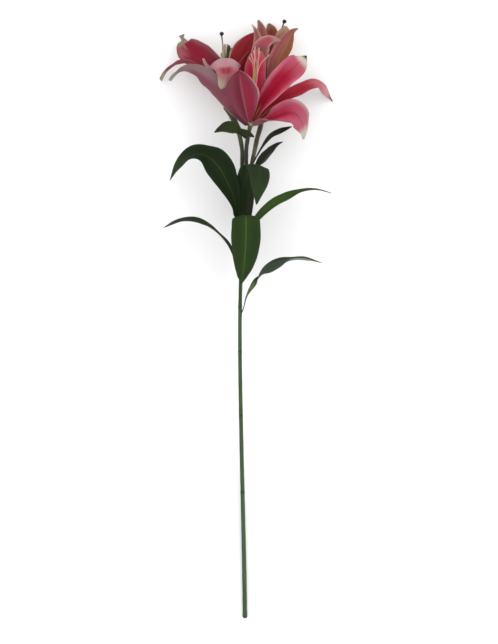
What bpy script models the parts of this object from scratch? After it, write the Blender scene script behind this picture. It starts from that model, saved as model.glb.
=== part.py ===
"""Cut lily with two open flowers and one opening flower, lying on a flat surface."""
import math

import bmesh
import bpy
import numpy as np

MM = 0.001
OBJECT_NAME = "cut_lily"

# Driving dimensions, in millimetres unless the name says otherwise.
SHEET_THICKNESS = 1.0
SHEET_ROWS = 11
SHEET_COLUMNS = 4
STEM_END_RADIUS = 3.1
STEM_TOP_RADIUS = 2.2
FILAMENT_RADIUS = 0.8
STYLE_RADIUS = 1.4
STIGMA_RADIUS = 2.6
FILAMENT_SPREAD = 3.0
# Where the filaments stand around their flower's style, in degrees.
FILAMENT_ANGLES = (0, 40, 140, 180, 240, 300)

# Colours are linear RGB.
STEM_GREEN = (0.085, 0.150, 0.070)
PEDICEL_GREEN = (0.070, 0.095, 0.035)
LEAF_GREEN = (0.030, 0.062, 0.015)
SHADED_LEAF_GREEN = (0.018, 0.030, 0.013)
PETAL_INNER_PINK = (0.330, 0.020, 0.055)
PETAL_OUTER_PINK = (0.300, 0.100, 0.130)
OPENING_PETAL_BROWN = (0.260, 0.085, 0.060)
FILAMENT_PINK = (0.420, 0.190, 0.160)
STYLE_OLIVE = (0.260, 0.220, 0.070)

# The main stem's centre line, from the cut end to the branching: x, y, z.
STEM_ROUTE = [
    (-1.3, -399.7, 2.95),
    (-2.4, -330.0, 4.2),
    (-4.2, -250.0, 7.5),
    (-6.4, -150.0, 13.0),
    (-8.0, -50.0, 20.0),
    (-7.6, 30.0, 27.5),
    (-5.0, 100.0, 35.0),
    (-2.0, 160.0, 43.0),
    (0.0, 196.0, 48.0),
]

# The flower stalks' centre lines: x, y, z and radius.
PEDICEL_ROUTES = {
    "pedicel_front": [
        (0.4, 198.8, 49.0, 2.6), (0.4, 225.0, 54.0, 2.7), (3.0, 244.0, 58.0, 2.7), (5.0, 254.0, 60.5, 2.8),
    ],
    "pedicel_left": [
        (-5.6, 184.0, 44.0, 2.3), (-5.2, 205.0, 44.5, 2.6), (-5.2, 225.0, 44.5, 2.7),
        (-9.0, 246.0, 43.0, 3.0), (-14.5, 262.0, 41.5, 3.9), (-23.0, 276.5, 40.0, 3.4),
    ],
    "pedicel_rear": [
        (5.4, 184.0, 42.0, 2.2), (7.0, 203.0, 41.5, 2.5), (11.0, 222.0, 41.0, 2.8),
        (15.0, 241.0, 38.5, 3.1), (20.0, 260.0, 35.0, 3.3), (22.0, 286.0, 33.0, 3.2),
    ],
}

# Leaves and petals: curl in degrees at the base, halfway and at the tip, then stations from base to tip.
# A station is the midrib point (x, y, z), the direction the upper or inner face looks in, and the width.
LEAVES = {
    "leaf_left_small": ((20, 20, 20), [
        (-7.0, 247.0, 66.0, 0.1, -0.3, 1.0, 5.0),
        (-14.0, 253.0, 69.0, 0.1, -0.2, 1.0, 15.0),
        (-24.0, 255.5, 69.0, 0.0, -0.2, 1.0, 16.0),
        (-34.0, 252.5, 66.0, -0.1, -0.2, 1.0, 8.5),
        (-42.0, 248.0, 62.0, -0.2, -0.2, 1.0, 1.2),
    ]),
    "leaf_right_small": ((20, 20, 20), [
        (-7.0, 251.5, 69.5, 0.0, 0.3, 1.0, 4.0),
        (-1.0, 248.0, 72.0, 0.0, 0.3, 1.0, 8.0),
        (5.0, 245.0, 72.0, 0.0, 0.3, 1.0, 7.0),
        (11.0, 242.0, 69.5, 0.0, 0.3, 1.0, 1.2),
    ]),
    "leaf_left_large": ((25, 22, 20), [
        (-12.5, 138.0, 47.5, 0.2, -0.2, 1.0, 6.5),
        (-13.0, 149.0, 55.5, 0.2, -0.2, 1.0, 11.0),
        (-17.5, 166.0, 62.0, 0.2, -0.2, 1.0, 21.0),
        (-27.0, 187.0, 70.0, 0.3, -0.2, 1.0, 33.0),
        (-37.0, 204.0, 75.0, 0.1, 0.1, 1.0, 39.0),
        (-53.0, 217.0, 73.0, -0.1, 0.8, 0.55, 36.0),
        (-71.0, 219.0, 65.0, -0.25, 0.7, 0.6, 30.0),
        (-88.0, 206.0, 52.0, -0.45, 0.5, 0.65, 20.0),
        (-101.0, 185.0, 40.0, -0.6, 0.5, 0.5, 1.4),
    ]),
    "leaf_hanging": ((-10, -40, -15), [
        (-4.0, 94.0, 40.0, 0.0, 0.7, -0.7, 5.0),
        (-3.0, 112.0, 56.0, 0.0, 0.7, -0.7, 16.0),
        (-1.0, 128.0, 71.0, 0.0, 0.8, -0.5, 27.0),
        (0.0, 138.0, 80.0, 0.0, 1.0, 0.0, 33.0),
        (0.0, 135.0, 88.0, 0.0, 0.8, 0.7, 38.5),
        (0.0, 118.0, 90.0, 0.0, 0.1, 1.0, 42.0),
        (-0.5, 95.0, 82.0, 0.0, -0.3, 1.0, 39.5),
        (-3.0, 69.0, 62.0, 0.0, -0.5, 1.0, 26.0),
        (-6.5, 46.0, 38.0, 0.0, -0.6, 1.0, 1.4),
    ]),
    "leaf_centre": ((22, 22, 22), [
        (-4.0, 132.0, 43.5, 0.0, -0.3, 1.0, 5.0),
        (-4.5, 146.0, 47.0, 0.0, -0.3, 1.0, 14.0),
        (-4.5, 162.0, 52.5, 0.0, -0.3, 1.0, 18.0),
        (-3.0, 178.0, 59.0, -0.1, -0.35, 1.0, 21.0),
        (1.5, 192.0, 69.0, -0.2, -0.5, 0.9, 25.0),
        (8.0, 201.0, 81.0, -0.3, -0.9, 0.4, 30.0),
        (14.5, 204.5, 91.0, -0.3, -1.0, -0.2, 32.0),
        (18.0, 197.0, 98.0, -0.2, -0.6, -0.8, 29.0),
        (17.5, 180.0, 98.0, 0.0, 0.0, -1.0, 24.5),
        (14.0, 152.0, 89.0, 0.0, 0.3, -1.0, 1.4),
    ]),
    "leaf_right": ((35, 30, 25), [
        (3.5, 121.0, 40.5, -0.4, 0.5, 0.8, 4.5),
        (15.5, 133.0, 47.0, -0.4, 0.6, 0.7, 14.0),
        (28.0, 145.0, 53.0, -0.3, 0.7, 0.65, 19.0),
        (42.0, 155.0, 56.0, -0.2, 0.8, 0.6, 20.0),
        (57.0, 162.5, 55.0, -0.2, 0.85, 0.5, 19.0),
        (74.0, 170.0, 49.0, -0.1, 0.95, 0.3, 15.0),
        (94.0, 172.5, 40.0, 0.1, 1.0, 0.1, 9.0),
        (114.0, 168.0, 29.0, 0.3, 1.0, 0.1, 1.2),
    ]),
    "leaf_left_narrow": ((15, 15, 15), [
        (-11.5, 58.0, 31.0, 0.5, 0.5, 0.3, 4.0),
        (-15.0, 78.0, 36.0, 0.8, 0.5, 0.35, 10.0),
        (-24.0, 99.0, 43.0, 0.75, 0.6, 0.3, 15.0),
        (-40.0, 117.0, 49.0, 0.5, 0.9, 0.1, 18.0),
        (-60.0, 128.5, 49.0, 0.2, 1.0, 0.35, 18.0),
        (-80.0, 132.0, 42.0, -0.1, 0.95, 0.45, 15.0),
        (-96.0, 128.0, 33.0, -0.35, 0.8, 0.5, 11.0),
        (-109.5, 122.0, 24.0, -0.4, 0.7, 0.5, 1.4),
    ]),
    "leaf_right_lower": ((15, 15, 15), [
        (-3.2, 14.0, 29.5, -0.7, 0.3, 0.5, 2.0),
        (1.5, 31.0, 34.0, -0.7, 0.3, 0.6, 3.6),
        (10.5, 46.0, 38.0, -0.5, 0.3, 0.8, 8.0),
        (19.0, 57.5, 41.0, -0.6, 0.7, -0.1, 12.0),
        (32.0, 68.0, 43.0, -0.2, 0.4, -0.9, 14.5),
        (45.0, 74.5, 41.0, -0.2, 0.5, -0.8, 15.0),
        (59.0, 79.0, 36.0, -0.1, 0.9, -0.5, 12.5),
        (78.0, 80.0, 28.0, 0.0, 0.9, -0.45, 10.5),
        (101.0, 75.0, 18.0, 0.2, 0.9, -0.3, 1.2),
    ]),
    "leaf_upper_right": ((20, 20, 20), [
        (9.0, 205.5, 54.5, -0.6, 0.4, 0.7, 2.4),
        (20.0, 226.0, 59.0, -0.5, 0.4, 0.8, 3.4),
        (32.5, 242.5, 62.0, -0.3, 0.5, 0.8, 7.5),
        (46.5, 250.0, 60.0, -0.2, 0.6, 0.8, 9.5),
        (61.0, 256.0, 54.0, 0.0, 0.6, 0.8, 1.2),
    ]),
    "leaf_upper_right_short": ((20, 20, 20), [
        (10.0, 199.0, 50.0, -0.6, 0.4, 0.7, 3.0),
        (20.5, 210.5, 52.0, -0.4, 0.5, 0.8, 13.0),
        (31.5, 223.0, 51.0, -0.3, 0.5, 0.8, 12.5),
        (41.0, 232.0, 47.0, -0.2, 0.6, 0.8, 6.0),
        (49.0, 236.0, 42.0, -0.1, 0.6, 0.8, 1.2),
    ]),
    "leaf_behind": ((20, 20, 20), [
        (2.5, 128.0, 34.0, 0.2, 0.2, 1.0, 5.0),
        (3.5, 146.0, 31.0, 0.1, 0.2, 1.0, 11.0),
        (4.0, 166.0, 27.0, 0.1, 0.2, 1.0, 14.0),
        (3.0, 186.0, 21.0, 0.0, 0.2, 1.0, 12.0),
        (0.0, 204.0, 14.0, 0.0, 0.2, 1.0, 1.4),
    ]),
}

FRONT_PETALS = {
    "front_petal_left": ((30, 10, -10), [
        (1.0, 257.5, 64.0, 0.3, 0.3, -0.9, 5.0),
        (-11.0, 277.0, 69.0, 0.35, 0.4, -0.8, 28.0),
        (-28.0, 298.0, 72.0, 0.45, 0.5, -0.7, 38.0),
        (-48.0, 317.0, 74.0, 0.45, 0.6, -0.6, 36.0),
        (-66.0, 329.5, 70.0, 0.2, 0.85, -0.55, 32.0),
        (-81.0, 332.0, 61.0, 0.0, 0.8, -0.6, 16.0),
        (-91.0, 329.0, 52.0, -0.4, 0.8, -0.4, 8.5),
        (-97.0, 324.0, 46.0, -0.4, 0.7, -0.6, 6.5),
        (-101.5, 318.0, 41.0, -0.2, 0.6, -0.8, 4.5),
    ]),
    "front_petal_near": ((40, 2, -35), [
        (4.5, 258.5, 68.5, 0.0, 0.5, -0.9, 5.0),
        (0.0, 277.0, 80.0, 0.0, 0.5, -0.85, 30.0),
        (-4.0, 296.0, 94.0, 0.0, 0.5, -0.85, 44.0),
        (-7.0, 313.0, 109.0, 0.0, 0.7, -0.7, 38.0),
        (-8.5, 326.0, 124.0, 0.0, 0.9, -0.3, 18.0),
        (-9.0, 329.0, 135.0, 0.0, 1.0, 0.1, 1.8),
    ]),
    "front_petal_back": ((15, 12, 10), [
        (5.5, 260.5, 57.5, 0.0, -0.1, 1.0, 4.5),
        (8.5, 285.0, 53.5, 0.0, -0.1, 1.0, 18.0),
        (10.5, 308.0, 54.0, 0.0, -0.1, 1.0, 27.0),
        (12.0, 330.0, 58.0, 0.0, -0.1, 1.0, 29.0),
        (15.0, 348.0, 63.0, 0.0, -0.1, 1.0, 23.0),
        (18.5, 360.5, 66.0, 0.0, -0.1, 1.0, 3.0),
    ]),
    "front_petal_upper": ((30, 18, 5), [
        (9.5, 263.0, 60.5, -0.5, 0.2, 0.9, 4.5),
        (20.5, 284.0, 67.0, -0.5, 0.35, 0.85, 20.0),
        (35.5, 304.0, 77.0, -0.45, 0.35, 0.85, 33.0),
        (51.0, 322.0, 82.0, -0.3, 0.3, 0.9, 34.0),
        (66.0, 336.5, 80.0, 0.0, 0.2, 1.0, 32.0),
        (73.5, 342.0, 75.0, 0.2, 0.3, 1.0, 21.0),
        (80.5, 350.0, 69.0, 0.3, 0.3, 0.9, 1.4),
    ]),
    "front_petal_right": ((30, 20, 10), [
        (11.0, 261.5, 57.5, -0.5, 0.4, 0.9, 4.5),
        (31.0, 279.0, 57.5, -0.4, 0.6, 0.7, 21.0),
        (50.0, 294.0, 57.0, -0.4, 0.7, 0.65, 25.0),
        (68.0, 303.0, 51.0, -0.2, 0.8, 0.6, 26.0),
        (82.0, 310.5, 43.0, -0.1, 0.8, 0.65, 24.0),
        (93.0, 313.0, 33.0, 0.15, 0.65, 0.8, 20.0),
        (102.0, 307.5, 21.0, 0.4, 0.45, 0.8, 17.0),
        (108.0, 301.0, 11.0, 0.5, 0.35, 0.7, 12.0),
        (112.0, 296.0, 5.0, 0.6, 0.2, 0.7, 4.0),
        (115.5, 291.0, 1.2, 0.6, 0.2, 0.7, 1.4),
    ]),
    "front_petal_lower": ((80, 30, 5), [
        (8.5, 257.5, 68.0, -0.2, 1.0, -0.1, 7.0),
        (20.0, 260.5, 73.0, -0.25, 1.0, -0.15, 21.0),
        (34.0, 266.0, 77.0, -0.2, 0.8, 0.5, 26.0),
        (46.0, 271.5, 77.0, -0.1, 0.45, 0.9, 31.0),
        (58.0, 274.5, 74.5, 0.0, 0.3, 1.0, 37.0),
        (68.0, 271.0, 68.0, 0.3, 0.2, 0.9, 36.0),
        (74.0, 261.0, 58.0, 0.5, 0.0, 0.8, 27.0),
        (77.0, 250.0, 49.0, 0.6, -0.1, 0.7, 14.0),
        (76.5, 240.0, 43.0, 0.6, -0.2, 0.7, 3.0),
    ]),
}

LEFT_PETALS = {
    "left_petal_left": ((20, 10, 5), [
        (-27.5, 284.0, 41.0, 0.4, 0.2, 0.9, 4.5),
        (-33.0, 308.0, 42.0, 0.4, 0.2, 0.9, 20.0),
        (-43.0, 330.0, 44.0, 0.3, 0.3, 0.9, 34.0),
        (-57.0, 346.0, 42.0, 0.2, 0.3, 0.95, 38.0),
        (-71.5, 355.0, 34.0, -0.1, 0.3, 0.95, 37.0),
        (-80.0, 361.0, 26.5, -0.3, 0.2, 0.9, 31.0),
        (-83.5, 366.0, 20.5, -0.35, 0.1, 0.9, 22.0),
        (-83.5, 371.0, 16.0, -0.3, 0.0, 1.0, 8.5),
        (-85.0, 374.5, 12.0, -0.3, 0.0, 1.0, 4.5),
        (-86.0, 379.0, 9.0, -0.3, -0.1, 1.0, 9.0),
    ]),
    "left_petal_far": ((30, 20, 10), [
        (-28.5, 283.0, 46.5, 0.5, 0.6, 0.5, 4.0),
        (-40.0, 306.0, 58.0, 0.6, 0.6, 0.3, 11.0),
        (-55.0, 327.0, 63.0, 0.5, 0.8, 0.1, 15.0),
        (-72.0, 339.5, 57.0, 0.2, 1.0, 0.3, 17.0),
        (-88.0, 341.0, 44.0, -0.3, 0.9, 0.35, 16.0),
        (-101.0, 335.0, 28.0, -0.7, 0.65, 0.4, 12.5),
        (-109.5, 327.0, 14.0, -0.8, 0.25, 0.55, 8.5),
        (-114.0, 319.5, 3.0, -0.65, -0.1, 0.75, 5.0),
    ]),
    "left_petal_right": ((20, 15, 10), [
        (-20.5, 284.5, 39.5, -0.3, 0.1, 0.9, 4.5),
        (-17.0, 306.0, 35.0, -0.2, 0.1, 0.9, 19.0),
        (-11.5, 328.0, 28.0, -0.1, 0.2, 0.9, 31.0),
        (-4.0, 350.0, 20.0, 0.0, 0.3, 0.95, 36.0),
        (4.0, 366.0, 13.0, 0.0, 0.5, 0.9, 30.0),
        (12.0, 377.0, 7.0, 0.0, 0.6, 0.8, 17.0),
        (19.0, 384.5, 2.0, 0.2, 0.7, 0.7, 2.0),
    ]),
    "left_petal_near": ((10, -60, -50), [
        (-24.0, 282.0, 50.5, 0.0, 0.3, -1.0, 4.5),
        (-24.5, 302.0, 58.0, 0.0, 0.3, -1.0, 18.0),
        (-25.5, 322.0, 66.0, 0.0, 0.5, -0.9, 30.0),
        (-26.5, 338.0, 77.0, 0.0, 0.8, -0.6, 42.0),
        (-27.0, 346.0, 88.0, 0.0, 1.0, 0.1, 48.0),
        (-27.0, 343.0, 95.5, 0.0, 0.7, 0.7, 46.0),
        (-26.5, 333.0, 100.0, 0.0, 0.2, 1.0, 37.0),
        (-27.5, 323.0, 101.0, 0.0, 0.0, 1.0, 26.0),
        (-30.0, 314.5, 100.0, 0.0, 0.0, 1.0, 18.0),
        (-32.0, 308.5, 99.0, 0.0, 0.0, 1.0, 12.0),
        (-33.0, 305.0, 98.0, 0.0, -0.2, 1.0, 3.5),
    ]),
    "left_petal_inner": ((20, 15, 10), [
        (-20.0, 282.5, 45.5, -0.3, 0.3, -0.9, 4.0),
        (-14.0, 302.0, 49.0, -0.4, 0.3, -0.8, 15.0),
        (-8.0, 321.0, 52.0, -0.5, 0.3, -0.8, 20.0),
        (-4.0, 337.0, 53.0, -0.5, 0.3, -0.75, 17.0),
        (0.0, 347.0, 52.0, -0.4, 0.4, -0.7, 10.0),
        (5.0, 356.0, 50.0, -0.3, 0.5, -0.5, 2.0),
    ]),
    "left_petal_under": ((20, 12, 5), [
        (-26.0, 284.5, 36.0, 0.2, 0.4, 0.9, 4.5),
        (-35.0, 307.0, 24.0, 0.2, 0.4, 0.9, 20.0),
        (-47.0, 327.0, 13.0, 0.1, 0.4, 0.9, 30.0),
        (-61.0, 341.0, 6.5, 0.0, 0.2, 1.0, 28.0),
        (-75.0, 349.0, 3.0, 0.0, 0.0, 1.0, 2.4),
    ]),
    "left_petal_curl": ((10, 25, 40), [
        (-37.0, 320.0, 57.0, 0.3, 0.2, 1.0, 2.0),
        (-47.0, 333.0, 60.0, 0.3, 0.3, 1.0, 3.6),
        (-53.0, 338.0, 61.0, 0.3, 0.3, 1.0, 4.2),
        (-57.0, 346.5, 59.0, 0.3, 0.3, 1.0, 3.0),
    ]),
}

REAR_PETALS = {
    "rear_petal_right": ((30, 20, 10), [
        (26.5, 294.0, 36.0, -0.5, 0.1, -0.8, 4.0),
        (34.5, 320.0, 43.0, -0.5, 0.1, -0.8, 15.5),
        (42.0, 344.0, 49.5, -0.45, 0.2, -0.83, 28.0),
        (51.0, 362.0, 50.0, -0.5, 0.2, -0.8, 27.0),
        (57.5, 375.0, 48.0, -0.4, 0.3, -0.8, 19.0),
        (63.0, 383.0, 44.0, -0.4, 0.4, -0.8, 9.0),
        (69.0, 387.0, 39.0, -0.3, 0.5, -0.8, 1.8),
    ]),
    "rear_petal_beige": ((25, 20, 15), [
        (26.0, 295.5, 31.0, -0.7, 0.1, 0.5, 4.0),
        (37.5, 325.0, 34.0, -0.7, 0.2, 0.6, 11.0),
        (44.5, 352.0, 36.0, -0.4, 0.2, 0.9, 20.0),
        (49.0, 373.0, 36.0, -0.3, 0.2, 0.9, 22.0),
        (51.5, 384.0, 34.0, -0.2, 0.3, 1.0, 15.0),
        (52.0, 390.5, 31.0, 0.0, 0.4, 1.0, 4.0),
    ]),
    "rear_petal_top": ((25, 20, 15), [
        (23.0, 295.0, 26.5, 0.0, 0.1, 1.0, 4.0),
        (27.5, 325.0, 18.0, 0.0, 0.1, 1.0, 22.0),
        (31.0, 350.0, 12.0, 0.0, 0.1, 1.0, 25.0),
        (33.0, 372.0, 8.5, 0.0, 0.1, 1.0, 26.0),
        (33.0, 386.0, 7.0, 0.0, 0.2, 1.0, 16.0),
        (30.5, 395.0, 5.0, 0.0, 0.3, 1.0, 3.0),
    ]),
    "rear_petal_tip": ((25, 20, 15), [
        (18.5, 294.5, 30.0, 0.8, 0.1, 0.4, 4.0),
        (16.5, 325.0, 27.0, 0.8, 0.1, 0.5, 14.0),
        (17.0, 352.0, 27.0, 0.7, 0.1, 0.7, 20.0),
        (20.0, 374.0, 28.0, 0.5, 0.2, 0.9, 20.0),
        (20.0, 388.0, 29.0, 0.4, 0.3, 0.9, 12.0),
        (16.5, 398.5, 28.0, 0.2, 0.4, 0.9, 3.0),
    ]),
    "rear_petal_left": ((20, 17, 15), [
        (17.8, 293.0, 35.5, 0.4, 0.1, -0.8, 4.0),
        (13.0, 322.0, 37.0, 0.45, 0.1, -0.85, 12.0),
        (12.5, 350.0, 40.0, 0.45, 0.2, -0.85, 15.0),
        (15.5, 371.0, 43.0, 0.5, 0.2, -0.8, 13.0),
        (13.0, 384.0, 43.0, 0.4, 0.4, -0.8, 7.0),
        (8.0, 392.0, 41.0, 0.3, 0.6, -0.7, 1.8),
    ]),
    "rear_petal_near": ((25, 15, 5), [
        (22.0, 292.0, 39.5, 0.0, 0.2, -1.0, 4.5),
        (19.5, 320.0, 45.5, 0.0, 0.2, -1.0, 14.0),
        (18.5, 344.0, 51.0, 0.0, 0.2, -1.0, 20.0),
        (19.5, 359.0, 57.0, 0.0, 0.2, -1.0, 23.0),
        (25.5, 368.5, 61.5, 0.1, 0.2, -1.0, 17.0),
        (35.0, 372.0, 63.0, 0.0, 0.3, -1.0, 10.5),
        (46.0, 370.5, 61.0, 0.0, 0.3, -1.0, 1.6),
    ]),
}

# Each flower's filaments and style rise together from its base to its throat, then fan out.
FLOWER_BASES = {
    "front": (6.5, 271.0, 65.5),
    "left": (-24.0, 296.0, 45.0),
    "rear": (22.5, 305.0, 34.0),
}

FLOWER_THROATS = {
    "front": (13.0, 330.0, 78.0),
    "left": (-27.5, 335.0, 57.0),
    "rear": (28.5, 328.0, 30.5),
}

FILAMENT_TIPS = {
    "front": [
        (31.0, 351.0, 84.0), (17.5, 360.0, 92.0), (12.0, 361.5, 89.0),
        (4.0, 348.0, 84.0), (6.5, 353.0, 75.0), (10.0, 357.0, 72.0),
    ],
    "left": [
        (-19.5, 361.0, 57.0), (-22.5, 364.0, 63.0), (-30.5, 362.0, 66.0),
        (-32.5, 354.0, 57.0), (-28.0, 366.0, 51.0), (-24.5, 366.0, 51.0),
    ],
    "rear": [
        (36.5, 346.0, 27.0), (33.5, 352.0, 34.0), (28.0, 354.0, 37.0),
        (25.0, 350.0, 31.0), (26.0, 353.0, 25.0), (31.0, 354.0, 22.0),
    ],
}

STYLE_TIPS = {
    "front": (20.0, 361.5, 83.0),
    "left": (-33.0, 382.0, 60.0),
    "rear": (51.8, 399.6, 20.0),
}


def clear_scene():
    for item in list(bpy.data.objects):
        bpy.data.objects.remove(item, do_unlink=True)


def make_material(name, colour, roughness):
    material = bpy.data.materials.new(name)
    material.use_nodes = True
    shader = material.node_tree.nodes["Principled BSDF"]
    shader.inputs["Base Color"].default_value = (*colour, 1.0)
    shader.inputs["Roughness"].default_value = roughness
    shader.inputs["Metallic"].default_value = 0.0
    return material


def smooth_path(points, count):
    """A Catmull-Rom curve through the points, read at evenly spaced lengths."""
    nodes = np.array(points, dtype=float)
    padded = np.vstack([2 * nodes[0] - nodes[1], nodes, 2 * nodes[-1] - nodes[-2]])
    dense = []
    for before, start, end, after in zip(padded, padded[1:], padded[2:], padded[3:]):
        for step in np.linspace(0.0, 1.0, 12, endpoint=False):
            linear = (end - before) * step
            square = (2 * before - 5 * start + 4 * end - after) * step ** 2
            cube = (3 * start - before - 3 * end + after) * step ** 3
            dense.append(start + 0.5 * (linear + square + cube))
    dense = np.array(dense + [nodes[-1]])
    steps = np.linalg.norm(np.diff(dense[:, :3], axis=0), axis=1)
    run = np.concatenate([[0.0], np.cumsum(steps)])
    wanted = np.linspace(0.0, run[-1], count)
    return np.stack([np.interp(wanted, run, column) for column in dense.T], axis=1)


def unit(vectors):
    return vectors / np.linalg.norm(vectors, axis=1, keepdims=True)


def sheet_points(stations, curl):
    """Rows of points across a leaf or petal, each row a shallow arc about the midrib."""
    path = smooth_path(stations, SHEET_ROWS + 1)
    middle = path[:, :3]
    along = unit(np.gradient(middle, axis=0))
    facing = path[:, 3:6]
    facing = unit(facing - np.sum(facing * along, axis=1, keepdims=True) * along)
    across = np.cross(along, facing)
    rows = []
    for index, centre in enumerate(middle):
        share = index / SHEET_ROWS
        bend = math.radians(np.interp(share, (0.0, 0.5, 1.0), curl))
        half = path[index, 6] / 2
        for side in np.linspace(-1.0, 1.0, SHEET_COLUMNS + 1):
            sideways = half * side * np.sinc(bend * side / math.pi)
            lift = sideways * math.tan(bend * side / 2)
            rows.append(centre + across[index] * sideways + facing[index] * lift)
    return rows


def add_sheet(name, piece, material, collection):
    curl, stations = piece
    mesh = bpy.data.meshes.new(name)
    grid = bmesh.new()
    bmesh.ops.create_grid(grid, x_segments=SHEET_COLUMNS, y_segments=SHEET_ROWS, size=1.0)
    ordered = sorted(grid.verts, key=lambda vert: (round(vert.co.y, 4), round(vert.co.x, 4)))
    for vert, point in zip(ordered, sheet_points(stations, curl)):
        vert.co = point * MM
    grid.to_mesh(mesh)
    grid.free()
    mesh.shade_smooth()
    mesh.materials.append(material)
    item = bpy.data.objects.new(name, mesh)
    collection.objects.link(item)
    shell = item.modifiers.new("thickness", "SOLIDIFY")
    shell.thickness = SHEET_THICKNESS * MM
    shell.offset = 0.0


def add_tube(name, points, radii, material, collection, bevel_resolution=2):
    """A capped round tube through the points, with a radius at each point."""
    curve = bpy.data.curves.new(name, "CURVE")
    curve.dimensions = "3D"
    curve.bevel_depth = MM
    curve.bevel_resolution = bevel_resolution
    curve.use_fill_caps = True
    spline = curve.splines.new("POLY")
    spline.points.add(len(points) - 1)
    spline.use_smooth = True
    for target, point, radius in zip(spline.points, points, radii):
        target.co = (*(point * MM), 1.0)
        target.radius = radius
    curve.materials.append(material)
    item = bpy.data.objects.new(name, curve)
    collection.objects.link(item)


def add_stem(material, collection):
    points = smooth_path(STEM_ROUTE, 30)
    shares = np.linspace(0.0, 1.0, len(points))
    radii = STEM_END_RADIUS + (STEM_TOP_RADIUS - STEM_END_RADIUS) * shares
    add_tube("stem", points, radii, material, collection, bevel_resolution=3)


def add_pedicels(material, collection):
    for name, route in PEDICEL_ROUTES.items():
        path = smooth_path(route, 14)
        add_tube(name, path[:, :3], path[:, 3], material, collection)


def add_stamens(flower, material, collection):
    """Six filaments around the style, on a ring from the base to the throat."""
    base = np.array(FLOWER_BASES[flower])
    throat = np.array(FLOWER_THROATS[flower])
    for number, (degrees, tip) in enumerate(zip(FILAMENT_ANGLES, FILAMENT_TIPS[flower]), start=1):
        angle = math.radians(degrees)
        ring = FILAMENT_SPREAD * np.array([math.cos(angle), 0.0, math.sin(angle)])
        points = smooth_path([base + ring, throat + ring, tip], 9)
        name = f"{flower}_stamen_{number}"
        add_tube(name, points, [FILAMENT_RADIUS] * len(points), material, collection)


def add_pistil(flower, material, collection):
    route = [FLOWER_BASES[flower], FLOWER_THROATS[flower], STYLE_TIPS[flower]]
    points = smooth_path(route, 12)
    radii = [STYLE_RADIUS] * 10 + [STIGMA_RADIUS, STIGMA_RADIUS * 0.7]
    add_tube(f"{flower}_pistil", points, radii, material, collection)


def build():
    clear_scene()
    collection = bpy.data.collections.new(OBJECT_NAME)
    bpy.context.scene.collection.children.link(collection)
    stem_green = make_material("stem", STEM_GREEN, 0.5)
    pedicel_green = make_material("pedicel", PEDICEL_GREEN, 0.55)
    leaf_green = make_material("leaf", LEAF_GREEN, 0.45)
    shaded_green = make_material("shaded_leaf", SHADED_LEAF_GREEN, 0.5)
    inner_pink = make_material("inner_petal", PETAL_INNER_PINK, 0.6)
    outer_pink = make_material("outer_petal", PETAL_OUTER_PINK, 0.6)
    brown_pink = make_material("opening_petal", OPENING_PETAL_BROWN, 0.6)
    filament_pink = make_material("filament", FILAMENT_PINK, 0.6)
    style_olive = make_material("style", STYLE_OLIVE, 0.55)

    add_stem(stem_green, collection)
    add_pedicels(pedicel_green, collection)
    for name, piece in LEAVES.items():
        green = shaded_green if name == "leaf_behind" else leaf_green
        add_sheet(name, piece, green, collection)
    for petals, pink in ((FRONT_PETALS, inner_pink), (LEFT_PETALS, outer_pink), (REAR_PETALS, brown_pink)):
        for name, piece in petals.items():
            add_sheet(name, piece, pink, collection)
    for flower in FLOWER_BASES:
        add_stamens(flower, filament_pink, collection)
        add_pistil(flower, style_olive, collection)


build()
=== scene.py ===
"""Looks of the cut lily: fine petals, leaves, stem and flower parts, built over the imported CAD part."""
import math

import bpy
import numpy as np
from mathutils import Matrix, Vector


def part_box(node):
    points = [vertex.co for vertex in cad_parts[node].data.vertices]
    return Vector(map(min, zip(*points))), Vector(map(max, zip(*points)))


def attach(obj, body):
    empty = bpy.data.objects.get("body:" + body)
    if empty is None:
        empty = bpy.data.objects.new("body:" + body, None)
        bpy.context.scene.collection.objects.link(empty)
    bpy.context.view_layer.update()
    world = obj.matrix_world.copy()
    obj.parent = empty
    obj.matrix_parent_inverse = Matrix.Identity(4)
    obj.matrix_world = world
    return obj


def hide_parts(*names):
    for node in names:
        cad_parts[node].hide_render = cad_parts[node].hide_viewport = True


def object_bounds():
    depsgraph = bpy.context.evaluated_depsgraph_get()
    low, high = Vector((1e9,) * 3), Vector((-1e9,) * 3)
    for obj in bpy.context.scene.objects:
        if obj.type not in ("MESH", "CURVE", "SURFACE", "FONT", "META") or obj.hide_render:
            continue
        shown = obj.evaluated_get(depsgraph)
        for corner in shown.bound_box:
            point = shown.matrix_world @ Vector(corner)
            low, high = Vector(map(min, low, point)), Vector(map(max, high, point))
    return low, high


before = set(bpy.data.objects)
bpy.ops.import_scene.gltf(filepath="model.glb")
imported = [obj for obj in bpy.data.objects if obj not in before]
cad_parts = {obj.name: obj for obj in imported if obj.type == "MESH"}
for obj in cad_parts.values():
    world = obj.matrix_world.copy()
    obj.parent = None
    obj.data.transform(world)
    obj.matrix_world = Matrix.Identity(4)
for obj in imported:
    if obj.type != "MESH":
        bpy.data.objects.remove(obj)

MM = 0.001
CAD_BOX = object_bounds()

# Fine sheets: rows along the midrib, columns across it, thickness in millimetres, the margin's share of it.
ROWS = 60
COLUMNS = 24
PETAL_THICKNESS = 0.8
LEAF_THICKNESS = 0.7
MARGIN_SHARE = 0.4
# The colours of a petal or leaf are shaded around this level.
BLADE_LEVEL = 0.90

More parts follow.
